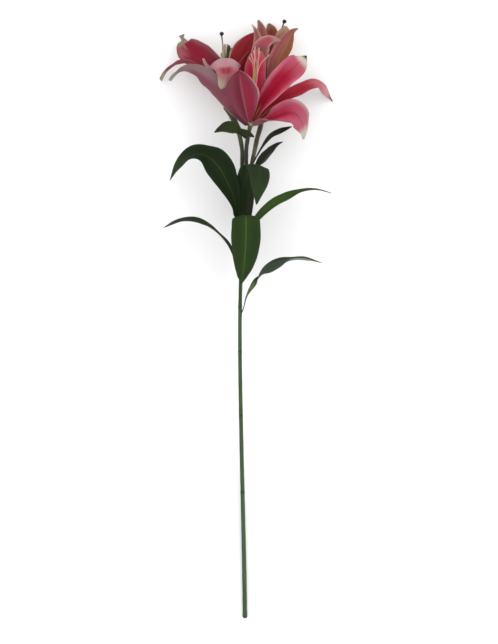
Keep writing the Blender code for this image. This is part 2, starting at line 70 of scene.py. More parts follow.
# The stem's radius at its cut end and at its top, and its swellings: place along y, extra radius and reach.
STEM_END_RADIUS = 3.05
STEM_TOP_RADIUS = 2.3
STEM_SWELLINGS = [
    (-232, 0.16, 2.2), (-130, 0.14, 2.5), (-44, 0.18, 2.4), (16, 0.35, 3.0), (56, 0.30, 3.5),
    (93, 0.35, 3.5), (119, 0.35, 3.5), (127, 0.2, 3.0), (148, 0.4, 4.0), (180, 0.5, 8.0),
]
# A bead at the cut end and the dip above it: distance from the end, extra radius, reach.
STEM_END_SHAPE = [(3.5, 0.22, 3.0), (14.0, -0.12, 4.0)]

# Filaments and styles: radii in millimetres, and what the radius loses or gains along them.
FILAMENT_RADII = {"front": 1.15, "left": 1.9, "rear": 1.15}
FILAMENT_TAPER = 0.55
STYLE_RADIUS = 1.9
STYLE_TAPER = 1.0
STIGMA_SWELLING = 1.9
ANTHER_SWELLING = 0.9
# The one filament that still carries its anther.
ANTHER_NODE = "left_stamen_2"

# Forms of the sheets in millimetres or shares of the half width: midrib groove, fold, margin ripple and its
# turns, nibbled outline, lengthwise pleats.
PLAIN_FORM = dict(groove=0, fold=0, ripple=0, turns=1, phase=0, nibble=0, pleat=0)
LEAF_FORM = dict(PLAIN_FORM, groove=0.5, fold=0.10, ripple=0.5, turns=2.2, nibble=0.008)
PETAL_FORM = dict(PLAIN_FORM, groove=0.9, ripple=0.6, turns=2.6, nibble=0.01, pleat=0.25)

# Studio, in metres: the camera looks straight down, its picture this high at the floor.
CAMERA_DISTANCE = 12.0
VIEW_HEIGHT = 0.8587
FLOOR_HALF = 20.0
WORLD_STRENGTH = 1.22

# The stem's line, in millimetres: x, y, z.
STEM_ROUTE = [
    (-1.3, -399.7, 2.95), (-2.4, -330, 4.2), (-4.2, -250, 7.5), (-6.4, -150, 13), (-8, -50, 20),
    (-7.6, 30, 27.5), (-5, 100, 35), (-2, 160, 43), (0, 196, 48),
]
# The flower stalks: their looks, and x, y, z and radius from the foot in the stem to the cup.
PEDICELS = {
    "pedicel_front": ("pedicel_receptacle", [
        (0, 190, 47.3, 2.6), (0.4, 198.8, 49, 2.6), (0.4, 225, 54, 2.7), (3, 244, 58, 2.7),
        (5, 254, 60.5, 2.8), (6, 259.5, 62.8, 4.4), (6.5, 264.5, 64.3, 4),
    ]),
    "pedicel_left": ("pedicel_green", [
        (-1.6, 168, 44, 2.2), (-5.6, 184, 44, 2.3), (-5.2, 205, 44.5, 2.6), (-5.2, 225, 44.5, 2.7),
        (-9, 246, 43, 3), (-14.5, 262, 41.5, 3.9), (-23, 276.5, 40, 3.4),
        (-24.6, 281, 41.2, 5.2), (-24.6, 287, 43, 4.6),
    ]),
    "pedicel_rear": ("pedicel_olive", [
        (1.8, 168, 43.2, 2.1), (5.4, 184, 42, 2.2), (7, 203, 41.5, 2.5), (11, 222, 41, 2.8),
        (15, 241, 38.5, 3.1), (20, 260, 35, 3.3), (22, 286, 33, 3.2),
        (22.3, 292.5, 32.8, 5.2), (22.3, 298, 33, 4.6),
    ]),
}

# Leaves and petals: curl in degrees at the base, halfway and at the tip, then stations from base to tip.
# A station is the midrib point (x, y, z), the direction the upper or inner face looks in, and the width.
LEAVES = {
    "leaf_left_small": ((20, 20, 20), [
        (-7, 247, 66, 0.1, -0.3, 1, 5), (-14, 253, 69, 0.1, -0.2, 1, 15),
        (-24, 255.5, 69, 0, -0.2, 1, 16), (-34, 252.5, 66, -0.1, -0.2, 1, 8.5),
        (-42, 248, 62, -0.2, -0.2, 1, 1.2),
    ]),
    "leaf_right_small": ((20, 20, 20), [
        (-7, 251.5, 69.5, 0, 0.3, 1, 4), (-1, 248, 72, 0, 0.3, 1, 8),
        (5, 245, 72, 0, 0.3, 1, 7), (11, 242, 69.5, 0, 0.3, 1, 1.2),
    ]),
    "leaf_left_large": ((25, 22, 20), [
        (-12.5, 138, 47.5, 0.2, -0.2, 1, 6.5), (-13, 149, 55.5, 0.2, -0.2, 1, 11),
        (-17.5, 166, 62, 0.2, -0.2, 1, 21), (-27, 187, 70, 0.3, -0.2, 1, 33),
        (-37, 204, 75, 0.1, 0.1, 1, 39), (-53, 217, 73, -0.1, 0.8, 0.55, 36),
        (-71, 219, 65, -0.25, 0.7, 0.6, 30), (-88, 206, 52, -0.45, 0.5, 0.65, 20),
        (-101, 185, 40, -0.6, 0.5, 0.5, 1.4),
    ]),
    "leaf_hanging": ((-10, -40, -15), [
        (-4, 94, 40, 0, 0.7, -0.7, 5), (-3, 112, 56, 0, 0.7, -0.7, 16),
        (-1, 128, 71, 0, 0.8, -0.5, 27), (0, 138, 80, 0, 1, 0, 33),
        (0, 135, 88, 0, 0.8, 0.7, 38.5), (0, 118, 90, 0, 0.1, 1, 42),
        (-0.5, 95, 82, 0, -0.3, 1, 39.5), (-3, 69, 62, 0, -0.5, 1, 26),
        (-6.5, 46, 38, 0, -0.6, 1, 1.4),
    ]),
    "leaf_centre": ((22, 22, 22), [
        (-4, 132, 43.5, 0, -0.3, 1, 5), (-4.5, 146, 47, 0, -0.3, 1, 14),
        (-4.5, 162, 52.5, 0, -0.3, 1, 18), (-3, 178, 59, -0.1, -0.35, 1, 21),
        (1.5, 192, 69, -0.2, -0.5, 0.9, 25), (8, 201, 81, -0.3, -0.9, 0.4, 30),
        (14.5, 204.5, 91, -0.3, -1, -0.2, 32), (18, 197, 98, -0.2, -0.6, -0.8, 29),
        (17.5, 180, 98, 0, 0, -1, 24.5), (14, 152, 89, 0, 0.3, -1, 1.4),
    ]),
    "leaf_right": ((35, 30, 25), [
        (3.5, 121, 40.5, -0.4, 0.5, 0.8, 4.5), (15.5, 133, 47, -0.4, 0.6, 0.7, 14),
        (28, 145, 53, -0.3, 0.7, 0.65, 19), (42, 155, 56, -0.2, 0.8, 0.6, 20),
        (57, 162.5, 55, -0.2, 0.85, 0.5, 19), (74, 170, 49, -0.1, 0.95, 0.3, 15),
        (94, 172.5, 40, 0.1, 1, 0.1, 9), (114, 168, 29, 0.3, 1, 0.1, 1.2),
    ]),
    "leaf_left_narrow": ((15, 15, 15), [
        (-11.5, 58, 31, 0.5, 0.5, 0.3, 4), (-15, 78, 36, 0.8, 0.5, 0.35, 10),
        (-24, 99, 43, 0.75, 0.6, 0.3, 15), (-40, 117, 49, 0.5, 0.9, 0.1, 18),
        (-60, 128.5, 49, 0.2, 1, 0.35, 18), (-80, 132, 42, -0.1, 0.95, 0.45, 15),
        (-96, 128, 33, -0.35, 0.8, 0.5, 11), (-109.5, 122, 24, -0.4, 0.7, 0.5, 1.4),
    ]),
    "leaf_right_lower": ((15, 15, 15), [
        (-3.2, 14, 29.5, -0.7, 0.3, 0.5, 2), (1.5, 31, 34, -0.7, 0.3, 0.6, 3.6),
        (10.5, 46, 38, -0.5, 0.3, 0.8, 8), (19, 57.5, 41, -0.6, 0.7, -0.1, 12),
        (32, 68, 43, -0.2, 0.4, -0.9, 14.5), (45, 74.5, 41, -0.2, 0.5, -0.8, 15),
        (59, 79, 36, -0.1, 0.9, -0.5, 12.5), (78, 80, 28, 0, 0.9, -0.45, 10.5),
        (101, 75, 18, 0.2, 0.9, -0.3, 1.2),
    ]),
    "leaf_upper_right": ((20, 20, 20), [
        (9, 205.5, 54.5, -0.6, 0.4, 0.7, 2.4), (20, 226, 59, -0.5, 0.4, 0.8, 3.4),
        (32.5, 242.5, 62, -0.3, 0.5, 0.8, 7.5), (46.5, 250, 60, -0.2, 0.6, 0.8, 9.5),
        (61, 256, 54, 0, 0.6, 0.8, 1.2),
    ]),
    "leaf_upper_right_short": ((20, 20, 20), [
        (10, 199, 50, -0.6, 0.4, 0.7, 3), (20.5, 210.5, 52, -0.4, 0.5, 0.8, 13),
        (31.5, 223, 51, -0.3, 0.5, 0.8, 12.5), (41, 232, 47, -0.2, 0.6, 0.8, 6),
        (49, 236, 42, -0.1, 0.6, 0.8, 1.2),
    ]),
    "leaf_behind": ((20, 20, 20), [
        (2.5, 128, 34, 0.2, 0.2, 1, 5), (3.5, 146, 31, 0.1, 0.2, 1, 11),
        (4, 166, 27, 0.1, 0.2, 1, 14), (3, 186, 21, 0, 0.2, 1, 12),
        (0, 204, 14, 0, 0.2, 1, 1.4),
    ]),
}

FRONT_PETALS = {
    "front_petal_left": ((30, 10, -10), [
        (1, 257.5, 64, 0.3, 0.3, -0.9, 5), (-11, 277, 69, 0.35, 0.4, -0.8, 28),
        (-28, 298, 72, 0.45, 0.5, -0.7, 38), (-48, 317, 74, 0.45, 0.6, -0.6, 36),
        (-66, 329.5, 70, 0.2, 0.85, -0.55, 32), (-81, 332, 61, 0, 0.8, -0.6, 16),
        (-91, 329, 52, -0.4, 0.8, -0.4, 8.5), (-97, 324, 46, -0.4, 0.7, -0.6, 6.5),
        (-101.5, 318, 41, -0.2, 0.6, -0.8, 4.5),
    ]),
    "front_petal_near": ((40, 2, -35), [
        (4.5, 258.5, 68.5, 0, 0.5, -0.9, 5), (0, 277, 80, 0, 0.5, -0.85, 30),
        (-4, 296, 94, 0, 0.5, -0.85, 44), (-7, 313, 109, 0, 0.7, -0.7, 38),
        (-8.5, 326, 124, 0, 0.9, -0.3, 18), (-9, 329, 135, 0, 1, 0.1, 1.8),
    ]),
    "front_petal_back": ((15, 12, 10), [
        (5.5, 260.5, 57.5, 0, -0.1, 1, 4.5), (8.5, 285, 53.5, 0, -0.1, 1, 18),
        (10.5, 308, 54, 0, -0.1, 1, 27), (12, 330, 58, 0, -0.1, 1, 29),
        (15, 348, 63, 0, -0.1, 1, 23), (18.5, 360.5, 66, 0, -0.1, 1, 3),
    ]),
    "front_petal_upper": ((30, 18, 5), [
        (9.5, 263, 60.5, -0.5, 0.2, 0.9, 4.5), (20.5, 284, 67, -0.5, 0.35, 0.85, 20),
        (35.5, 304, 77, -0.45, 0.35, 0.85, 33), (51, 322, 82, -0.3, 0.3, 0.9, 34),
        (66, 336.5, 80, 0, 0.2, 1, 32), (73.5, 342, 75, 0.2, 0.3, 1, 21),
        (80.5, 350, 69, 0.3, 0.3, 0.9, 1.4),
    ]),
    "front_petal_right": ((30, 20, 10), [
        (11, 261.5, 57.5, -0.5, 0.4, 0.9, 4.5), (31, 279, 57.5, -0.4, 0.6, 0.7, 21),
        (50, 294, 57, -0.4, 0.7, 0.65, 25), (68, 303, 51, -0.2, 0.8, 0.6, 26),
        (82, 310.5, 43, -0.1, 0.8, 0.65, 24), (93, 313, 33, 0.15, 0.65, 0.8, 20),
        (102, 307.5, 21, 0.4, 0.45, 0.8, 17), (108, 301, 11, 0.5, 0.35, 0.7, 12),
        (112, 296, 5, 0.6, 0.2, 0.7, 4), (115.5, 291, 1.2, 0.6, 0.2, 0.7, 1.4),
    ]),
    "front_petal_lower": ((80, 30, 5), [
        (8.5, 257.5, 68, -0.2, 1, -0.1, 7), (20, 260.5, 73, -0.25, 1, -0.15, 21),
        (34, 266, 77, -0.2, 0.8, 0.5, 26), (46, 271.5, 77, -0.1, 0.45, 0.9, 31),
        (58, 274.5, 74.5, 0, 0.3, 1, 37), (68, 271, 68, 0.3, 0.2, 0.9, 36),
        (74, 261, 58, 0.5, 0, 0.8, 27), (77, 250, 49, 0.6, -0.1, 0.7, 14),
        (76.5, 240, 43, 0.6, -0.2, 0.7, 3),
    ]),
}

LEFT_PETALS = {
    "left_petal_left": ((20, 10, 5), [
        (-27.5, 284, 41, 0.4, 0.2, 0.9, 4.5), (-33, 308, 42, 0.4, 0.2, 0.9, 20),
        (-43, 330, 44, 0.3, 0.3, 0.9, 34), (-57, 346, 42, 0.2, 0.3, 0.95, 38),
        (-71.5, 355, 34, -0.1, 0.3, 0.95, 37), (-80, 361, 26.5, -0.3, 0.2, 0.9, 31),
        (-83.5, 366, 20.5, -0.35, 0.1, 0.9, 22), (-83.5, 371, 16, -0.3, 0, 1, 8.5),
        (-85, 374.5, 12, -0.3, 0, 1, 4.5), (-86, 379, 9, -0.3, -0.1, 1, 9),
    ]),
    "left_petal_far": ((30, 20, 10), [
        (-28.5, 283, 46.5, 0.5, 0.6, 0.5, 4), (-40, 306, 58, 0.6, 0.6, 0.3, 11),
        (-55, 327, 63, 0.5, 0.8, 0.1, 15), (-72, 339.5, 57, 0.2, 1, 0.3, 17),
        (-88, 341, 44, -0.3, 0.9, 0.35, 16), (-101, 335, 28, -0.7, 0.65, 0.4, 12.5),
        (-109.5, 327, 14, -0.8, 0.25, 0.55, 8.5), (-114, 319.5, 3, -0.65, -0.1, 0.75, 5),
    ]),
    "left_petal_right": ((20, 15, 10), [
        (-20.5, 284.5, 39.5, -0.3, 0.1, 0.9, 4.5), (-17, 306, 35, -0.2, 0.1, 0.9, 19),
        (-11.5, 328, 28, -0.1, 0.2, 0.9, 31), (-4, 350, 20, 0, 0.3, 0.95, 36),
        (4, 366, 13, 0, 0.5, 0.9, 30), (12, 377, 7, 0, 0.6, 0.8, 17),
        (19, 384.5, 2, 0.2, 0.7, 0.7, 2),
    ]),
    "left_petal_near": ((10, -60, -50), [
        (-24, 282, 50.5, 0, 0.3, -1, 4.5), (-24.5, 302, 58, 0, 0.3, -1, 18),
        (-25.5, 322, 66, 0, 0.5, -0.9, 30), (-26.5, 338, 77, 0, 0.8, -0.6, 42),
        (-27, 346, 88, 0, 1, 0.1, 48), (-27, 343, 95.5, 0, 0.7, 0.7, 46),
        (-26.5, 333, 100, 0, 0.2, 1, 37), (-27.5, 323, 101, 0, 0, 1, 26),
        (-30, 314.5, 100, 0, 0, 1, 18), (-32, 308.5, 99, 0, 0, 1, 12),
        (-33, 305, 98, 0, -0.2, 1, 3.5),
    ]),
    "left_petal_inner": ((20, 15, 10), [
        (-20, 282.5, 45.5, -0.3, 0.3, -0.9, 4), (-14, 302, 49, -0.4, 0.3, -0.8, 15),
        (-8, 321, 52, -0.5, 0.3, -0.8, 20), (-4, 337, 53, -0.5, 0.3, -0.75, 17),
        (0, 347, 52, -0.4, 0.4, -0.7, 10), (5, 356, 50, -0.3, 0.5, -0.5, 2),
    ]),
    "left_petal_under": ((20, 12, 5), [
        (-26, 284.5, 36, 0.2, 0.4, 0.9, 4.5), (-35, 307, 24, 0.2, 0.4, 0.9, 20),
        (-47, 327, 13, 0.1, 0.4, 0.9, 30), (-61, 341, 6.5, 0, 0.2, 1, 28),
        (-75, 349, 3, 0, 0, 1, 2.4),
    ]),
    "left_petal_curl": ((10, 25, 40), [
        (-37, 320, 57, 0.3, 0.2, 1, 2), (-47, 333, 60, 0.3, 0.3, 1, 3.6),
        (-53, 338, 61, 0.3, 0.3, 1, 4.2), (-57, 346.5, 59, 0.3, 0.3, 1, 3),
    ]),
}

REAR_PETALS = {
    "rear_petal_right": ((30, 20, 10), [
        (26.5, 294, 36, -0.5, 0.1, -0.8, 4), (34.5, 320, 43, -0.5, 0.1, -0.8, 15.5),
        (42, 344, 49.5, -0.45, 0.2, -0.83, 28), (51, 362, 50, -0.5, 0.2, -0.8, 27),
        (57.5, 375, 48, -0.4, 0.3, -0.8, 19), (63, 383, 44, -0.4, 0.4, -0.8, 9),
        (69, 387, 39, -0.3, 0.5, -0.8, 1.8),
    ]),
    "rear_petal_beige": ((25, 20, 15), [
        (26, 295.5, 31, -0.7, 0.1, 0.5, 4), (37.5, 325, 34, -0.7, 0.2, 0.6, 11),
        (44.5, 352, 36, -0.4, 0.2, 0.9, 20), (49, 373, 36, -0.3, 0.2, 0.9, 22),
        (51.5, 384, 34, -0.2, 0.3, 1, 15), (52, 390.5, 31, 0, 0.4, 1, 4),
    ]),
    "rear_petal_top": ((25, 20, 15), [
        (23, 295, 26.5, 0, 0.1, 1, 4), (27.5, 325, 18, 0, 0.1, 1, 22),
        (31, 350, 12, 0, 0.1, 1, 25), (33, 372, 8.5, 0, 0.1, 1, 26),
        (33, 386, 7, 0, 0.2, 1, 16), (30.5, 395, 5, 0, 0.3, 1, 3),
    ]),
    "rear_petal_tip": ((25, 20, 15), [
        (18.5, 294.5, 30, 0.8, 0.1, 0.4, 4), (16.5, 325, 27, 0.8, 0.1, 0.5, 14),
        (17, 352, 27, 0.7, 0.1, 0.7, 20), (20, 374, 28, 0.5, 0.2, 0.9, 20),
        (20, 388, 29, 0.4, 0.3, 0.9, 12), (16.5, 398.5, 28, 0.2, 0.4, 0.9, 3),
    ]),
    "rear_petal_left": ((20, 17, 15), [
        (17.8, 293, 35.5, 0.4, 0.1, -0.8, 4), (13, 322, 37, 0.45, 0.1, -0.85, 12),
        (12.5, 350, 40, 0.45, 0.2, -0.85, 15), (15.5, 371, 43, 0.5, 0.2, -0.8, 13),
        (13, 384, 43, 0.4, 0.4, -0.8, 7), (8, 392, 41, 0.3, 0.6, -0.7, 1.8),
    ]),
    "rear_petal_near": ((25, 15, 5), [
        (22, 292, 39.5, 0, 0.2, -1, 4.5), (19.5, 320, 45.5, 0, 0.2, -1, 14),
        (18.5, 344, 51, 0, 0.2, -1, 20), (19.5, 359, 57, 0, 0.2, -1, 23),
        (25.5, 368.5, 61.5, 0.1, 0.2, -1, 17), (35, 372, 63, 0, 0.3, -1, 10.5),
        (46, 370.5, 61, 0, 0.3, -1, 1.6),
    ]),
}

# A first station in front of the others, where a sheet grows out of the stem or the flower.
ROOTS = {
    "leaf_left_large": (-3.4, 138, 40, 0.2, -0.2, 1, 4.5),
    "leaf_hanging": (-5.4, 86, 34, 0, 0.7, -0.7, 5),
    "leaf_centre": (-1.6, 142, 41, 0, -0.3, 1, 4.5),
    "leaf_right": (-3.4, 114, 37.5, -0.4, 0.5, 0.8, 4.5),
    "leaf_left_narrow": (-7.4, 51, 29.5, 0.5, 0.5, 0.3, 4),
    "leaf_right_lower": (-7, 6, 25.5, -0.7, 0.3, 0.5, 4.5),
    "leaf_upper_right": (2, 188, 46.5, -0.6, 0.4, 0.7, 2.8),
    "leaf_upper_right_short": (2, 186, 45, -0.6, 0.4, 0.7, 3),
    "leaf_behind": (-2.8, 121, 37, 0.2, 0.2, 1, 4.5),
    "leaf_left_small": (0, 241, 58, 0.1, -0.3, 1, 4),
    "leaf_right_small": (-12, 254, 66, 0, 0.3, 1, 3.4),
    "front_petal_lower": (2.5, 261.5, 70, -0.2, 1, -0.1, 5),
}

# Where each flower's filaments and style start, where they leave the throat, and where they end.
FLOWER_BASES = {"front": (6.5, 271, 65.5), "left": (-24, 296, 45), "rear": (22.5, 305, 34)}
FLOWER_THROATS = {"front": (13, 330, 78), "left": (-27.5, 335, 57), "rear": (28.5, 328, 30.5)}
FILAMENT_TIPS = {
    "front": [
        (31, 351, 84), (17.5, 360, 92), (12, 361.5, 89), (4, 348, 84), (6.5, 353, 75), (10, 357, 72),
    ],
    "left": [
        (-19.5, 361, 57), (-22.5, 364, 63), (-30.5, 362, 66), (-32.5, 354, 57), (-28, 366, 51),
        (-24.5, 366, 51),
    ],
    "rear": [
        (36.5, 346, 27), (33.5, 352, 34), (28, 354, 37), (25, 350, 31), (26, 353, 25), (31, 354, 22),
    ],
}
STYLE_TIPS = {"front": (20, 361.5, 83), "left": (-33, 382, 60), "rear": (51.8, 399.6, 20)}
# The filaments stand this far from the style, at these degrees around it.
FILAMENT_SPREAD = 3.0
FILAMENT_ANGLES = (0, 40, 140, 180, 240, 300)


# ---------------- node materials

def linear(colour):
    """An sRGB colour of 0 to 255 as linear RGBA."""
    shares = [channel / 255 for channel in colour]
    return tuple(s / 12.92 if s <= 0.04045 else ((s + 0.055) / 1.055) ** 2.4 for s in shares) + (1.0,)


class Nodes:
    """A material's node tree, with short calls for the nodes used here."""

    def __init__(self, name):
        self.material = bpy.data.materials.new(name)
        self.material.use_nodes = True
        self.tree = self.material.node_tree
        self.shader = self.tree.nodes["Principled BSDF"]

    def add(self, kind, inputs, **settings):
        node = self.tree.nodes.new(kind)
        for key, value in settings.items():
            setattr(node, key, value)
        for key, value in inputs.items():
            if isinstance(value, bpy.types.NodeSocket):
                self.tree.links.new(value, node.inputs[key])
            else:
                node.inputs[key].default_value = value
        return node

    def math(self, operation, first, second=0.0, clamp=False):
        node = self.add("ShaderNodeMath", {0: first, 1: second}, operation=operation, use_clamp=clamp)
        return node.outputs[0]

    def step(self, value, low, high):
        """0 at low, 1 at high, smooth between; low may be the higher one."""
        node = self.add("ShaderNodeMapRange", {0: value, 1: low, 2: high, 3: 0.0, 4: 1.0},
                        interpolation_type="SMOOTHSTEP")
        return node.outputs[0]

    def mix(self, share, first, second, blend="MIX"):
        node = self.add("ShaderNodeMix", {0: share, 6: first, 7: second}, data_type="RGBA", blend_type=blend)
        return node.outputs[2]

    def ramp(self, value, stops):
        node = self.add("ShaderNodeValToRGB", {0: value})
        elements = node.color_ramp.elements
        while len(elements) < len(stops):
            elements.new(1.0)
        for element, (position, colour) in zip(elements, stops):
            element.position = position
            element.color = linear(colour)
        node.color_ramp.interpolation = "EASE"
        return node.outputs[0]

    def noise(self, vector, scale, detail):
        node = self.add("ShaderNodeTexNoise", {"Vector": vector, "Scale": scale, "Detail": detail})
        return node.outputs[0]

    def stretched(self, vector, scale):
        node = self.add("ShaderNodeVectorMath", {0: vector, 1: scale}, operation="MULTIPLY")
        return node.outputs[0]

    def places(self):
        """The UV map as a vector, its two parts, and the place on the object in metres."""
        coordinates = self.add("ShaderNodeTexCoord", {})
        split = self.add("ShaderNodeSeparateXYZ", {0: coordinates.outputs["UV"]})
        return coordinates.outputs["UV"], split.outputs[0], split.outputs[1], coordinates.outputs["Object"]

    def shaded(self, colour, shade):
        grey = self.add("ShaderNodeCombineColor", {0: shade, 1: shade, 2: shade})
        return self.mix(1.0, colour, grey.outputs[0], blend="MULTIPLY")

    def finish(self, colour, height, bump, settings, roughness=None):
        """Colour, bump and the plain numbers onto the shader."""
        self.tree.links.new(colour, self.shader.inputs["Base Color"])
        if roughness is not None:
            self.tree.links.new(roughness, self.shader.inputs["Roughness"])
        relief = self.add("ShaderNodeBump", {"Height": height, "Strength": 1.0, "Distance": bump * MM})
        self.tree.links.new(relief.outputs[0], self.shader.inputs["Normal"])
        for key, value in settings.items():
            self.shader.inputs[key].default_value = value
        return self.material


def blade_material(name, look):
    """One face of a petal or leaf: bands from midrib to margin, coloured zones, a midrib and veins along it.

    A zone is a colour and its limits. A limit is an axis with where the zone starts and where it is full.
    """
    nodes = Nodes(name)
    uv, across, along, place = nodes.places()
    side = nodes.math("SUBTRACT", nodes.math("MULTIPLY", across, 2), 1)
    edge = nodes.math("ABSOLUTE", side)
    veins = look["veins"]
    clouds = nodes.noise(place, 55, 3)
    grain = nodes.noise(place, 900, 2)
    streaks = nodes.noise(nodes.stretched(uv, (veins, 2.2, 1)), 1, 3)
    fine = nodes.noise(nodes.stretched(uv, (veins * 3.5, 4, 1)), 1, 1)

    drift = nodes.math("MULTIPLY", nodes.math("SUBTRACT", clouds, 0.5), 0.3)
    feather = nodes.math("MULTIPLY", nodes.math("SUBTRACT", streaks, 0.5), look["feather"])
    spread = nodes.math("ADD", nodes.math("ADD", edge, drift), feather, clamp=True)
    colour = nodes.ramp(spread, look["bands"])
    half_feather = nodes.math("MULTIPLY", feather, 0.5)
    axes = {
        "along": nodes.math("ADD", along, half_feather),
        "side": nodes.math("ADD", side, feather),
        "edge": nodes.math("ADD", edge, half_feather),
    }
    for zone_colour, limits in look["zones"]:
        amount = 1.0
        for axis, start, end in limits:
            amount = nodes.math("MULTIPLY", nodes.step(axes[axis], start, end), amount)
        colour = nodes.mix(amount, colour, linear(zone_colour))
    rib, width, strength, rib_end = look["rib"]
    on_rib = nodes.math("MULTIPLY", nodes.step(edge, width, 0), strength)
    on_rib = nodes.math("MULTIPLY", on_rib, nodes.step(along, 1, rib_end))
    colour = nodes.mix(on_rib, colour, linear(rib))
    vein_shade = look["vein_shade"]
    shade = nodes.math("ADD", nodes.math("MULTIPLY", fine, vein_shade), BLADE_LEVEL - vein_shade / 2)
    colour = nodes.shaded(colour, shade)

    ridges = nodes.math("SINE", nodes.math("MULTIPLY", side, look["lines"]))
    height = nodes.math("ADD", streaks, nodes.math("MULTIPLY", grain, 0.25))
    height = nodes.math("ADD", height, nodes.math("MULTIPLY", ridges, 0.35))
    height = nodes.math("ADD", height, nodes.math("MULTIPLY", nodes.step(edge, width * 1.3, 0), -0.8))
    roughness = nodes.math("ADD", nodes.math("MULTIPLY", clouds, 0.25), look["roughness"] - 0.12)
    return nodes.finish(colour, height, look["bump"], {"Specular IOR Level": look["specular"]}, roughness)


# What the looks have unless they say otherwise. Colours are sRGB of 0 to 255, the bump is in millimetres.
PETAL_BODY = dict(feather=0.3, veins=34, vein_shade=0.3, lines=60, roughness=0.5, specular=0.08, bump=0.25)
LEAF_BODY = dict(PETAL_BODY, veins=26, lines=90, specular=0.07, bump=0.2)
STALK_BODY = dict(drift=0.1, bloom_by=0.45, specks=0.3, specular=0.25, bump=0.2)

THROAT = ((162, 140, 62), [("along", 0.24, 0.10), ("edge", 0.24, 0.08)])
FRONT_INNER = dict(
    bands=[(0, (156, 14, 42)), (0.45, (160, 26, 54)), (0.72, (172, 58, 82)), (0.95, (190, 100, 118)),
           (1, (196, 116, 130))],
    zones=[THROAT], rib=((140, 14, 40), 0.08, 0.5, 0.75),
)
FRONT_OUTER = dict(
    bands=[(0, (128, 42, 60)), (0.5, (122, 46, 64)), (0.85, (132, 62, 78)), (1, (150, 92, 104))],
    zones=[((104, 62, 60), [("along", 0.12, 0)])],
    rib=((180, 116, 128), 0.05, 0.65, 0.7), feather=0.2, vein_shade=0.2,
)
LEFT_INNER = dict(
    bands=[(0, (126, 36, 54)), (0.6, (122, 44, 58)), (0.88, (132, 64, 74)), (1, (146, 98, 98))],
    zones=[((124, 100, 60), [("along", 0.2, 0)]), ((156, 140, 118), [("along", 0.84, 0.92)])],
    rib=((124, 28, 46), 0.08, 0.4, 0.75),
)
REAR_INNER = dict(
    bands=[(0, (128, 54, 42)), (0.5, (138, 64, 50)), (0.85, (152, 84, 66)), (1, (166, 112, 94))],
    zones=[((106, 84, 50), [("along", 0.3, 0)]), ((146, 112, 90), [("along", 0.88, 1)])],
    rib=((112, 46, 34), 0.08, 0.4, 0.75),
)
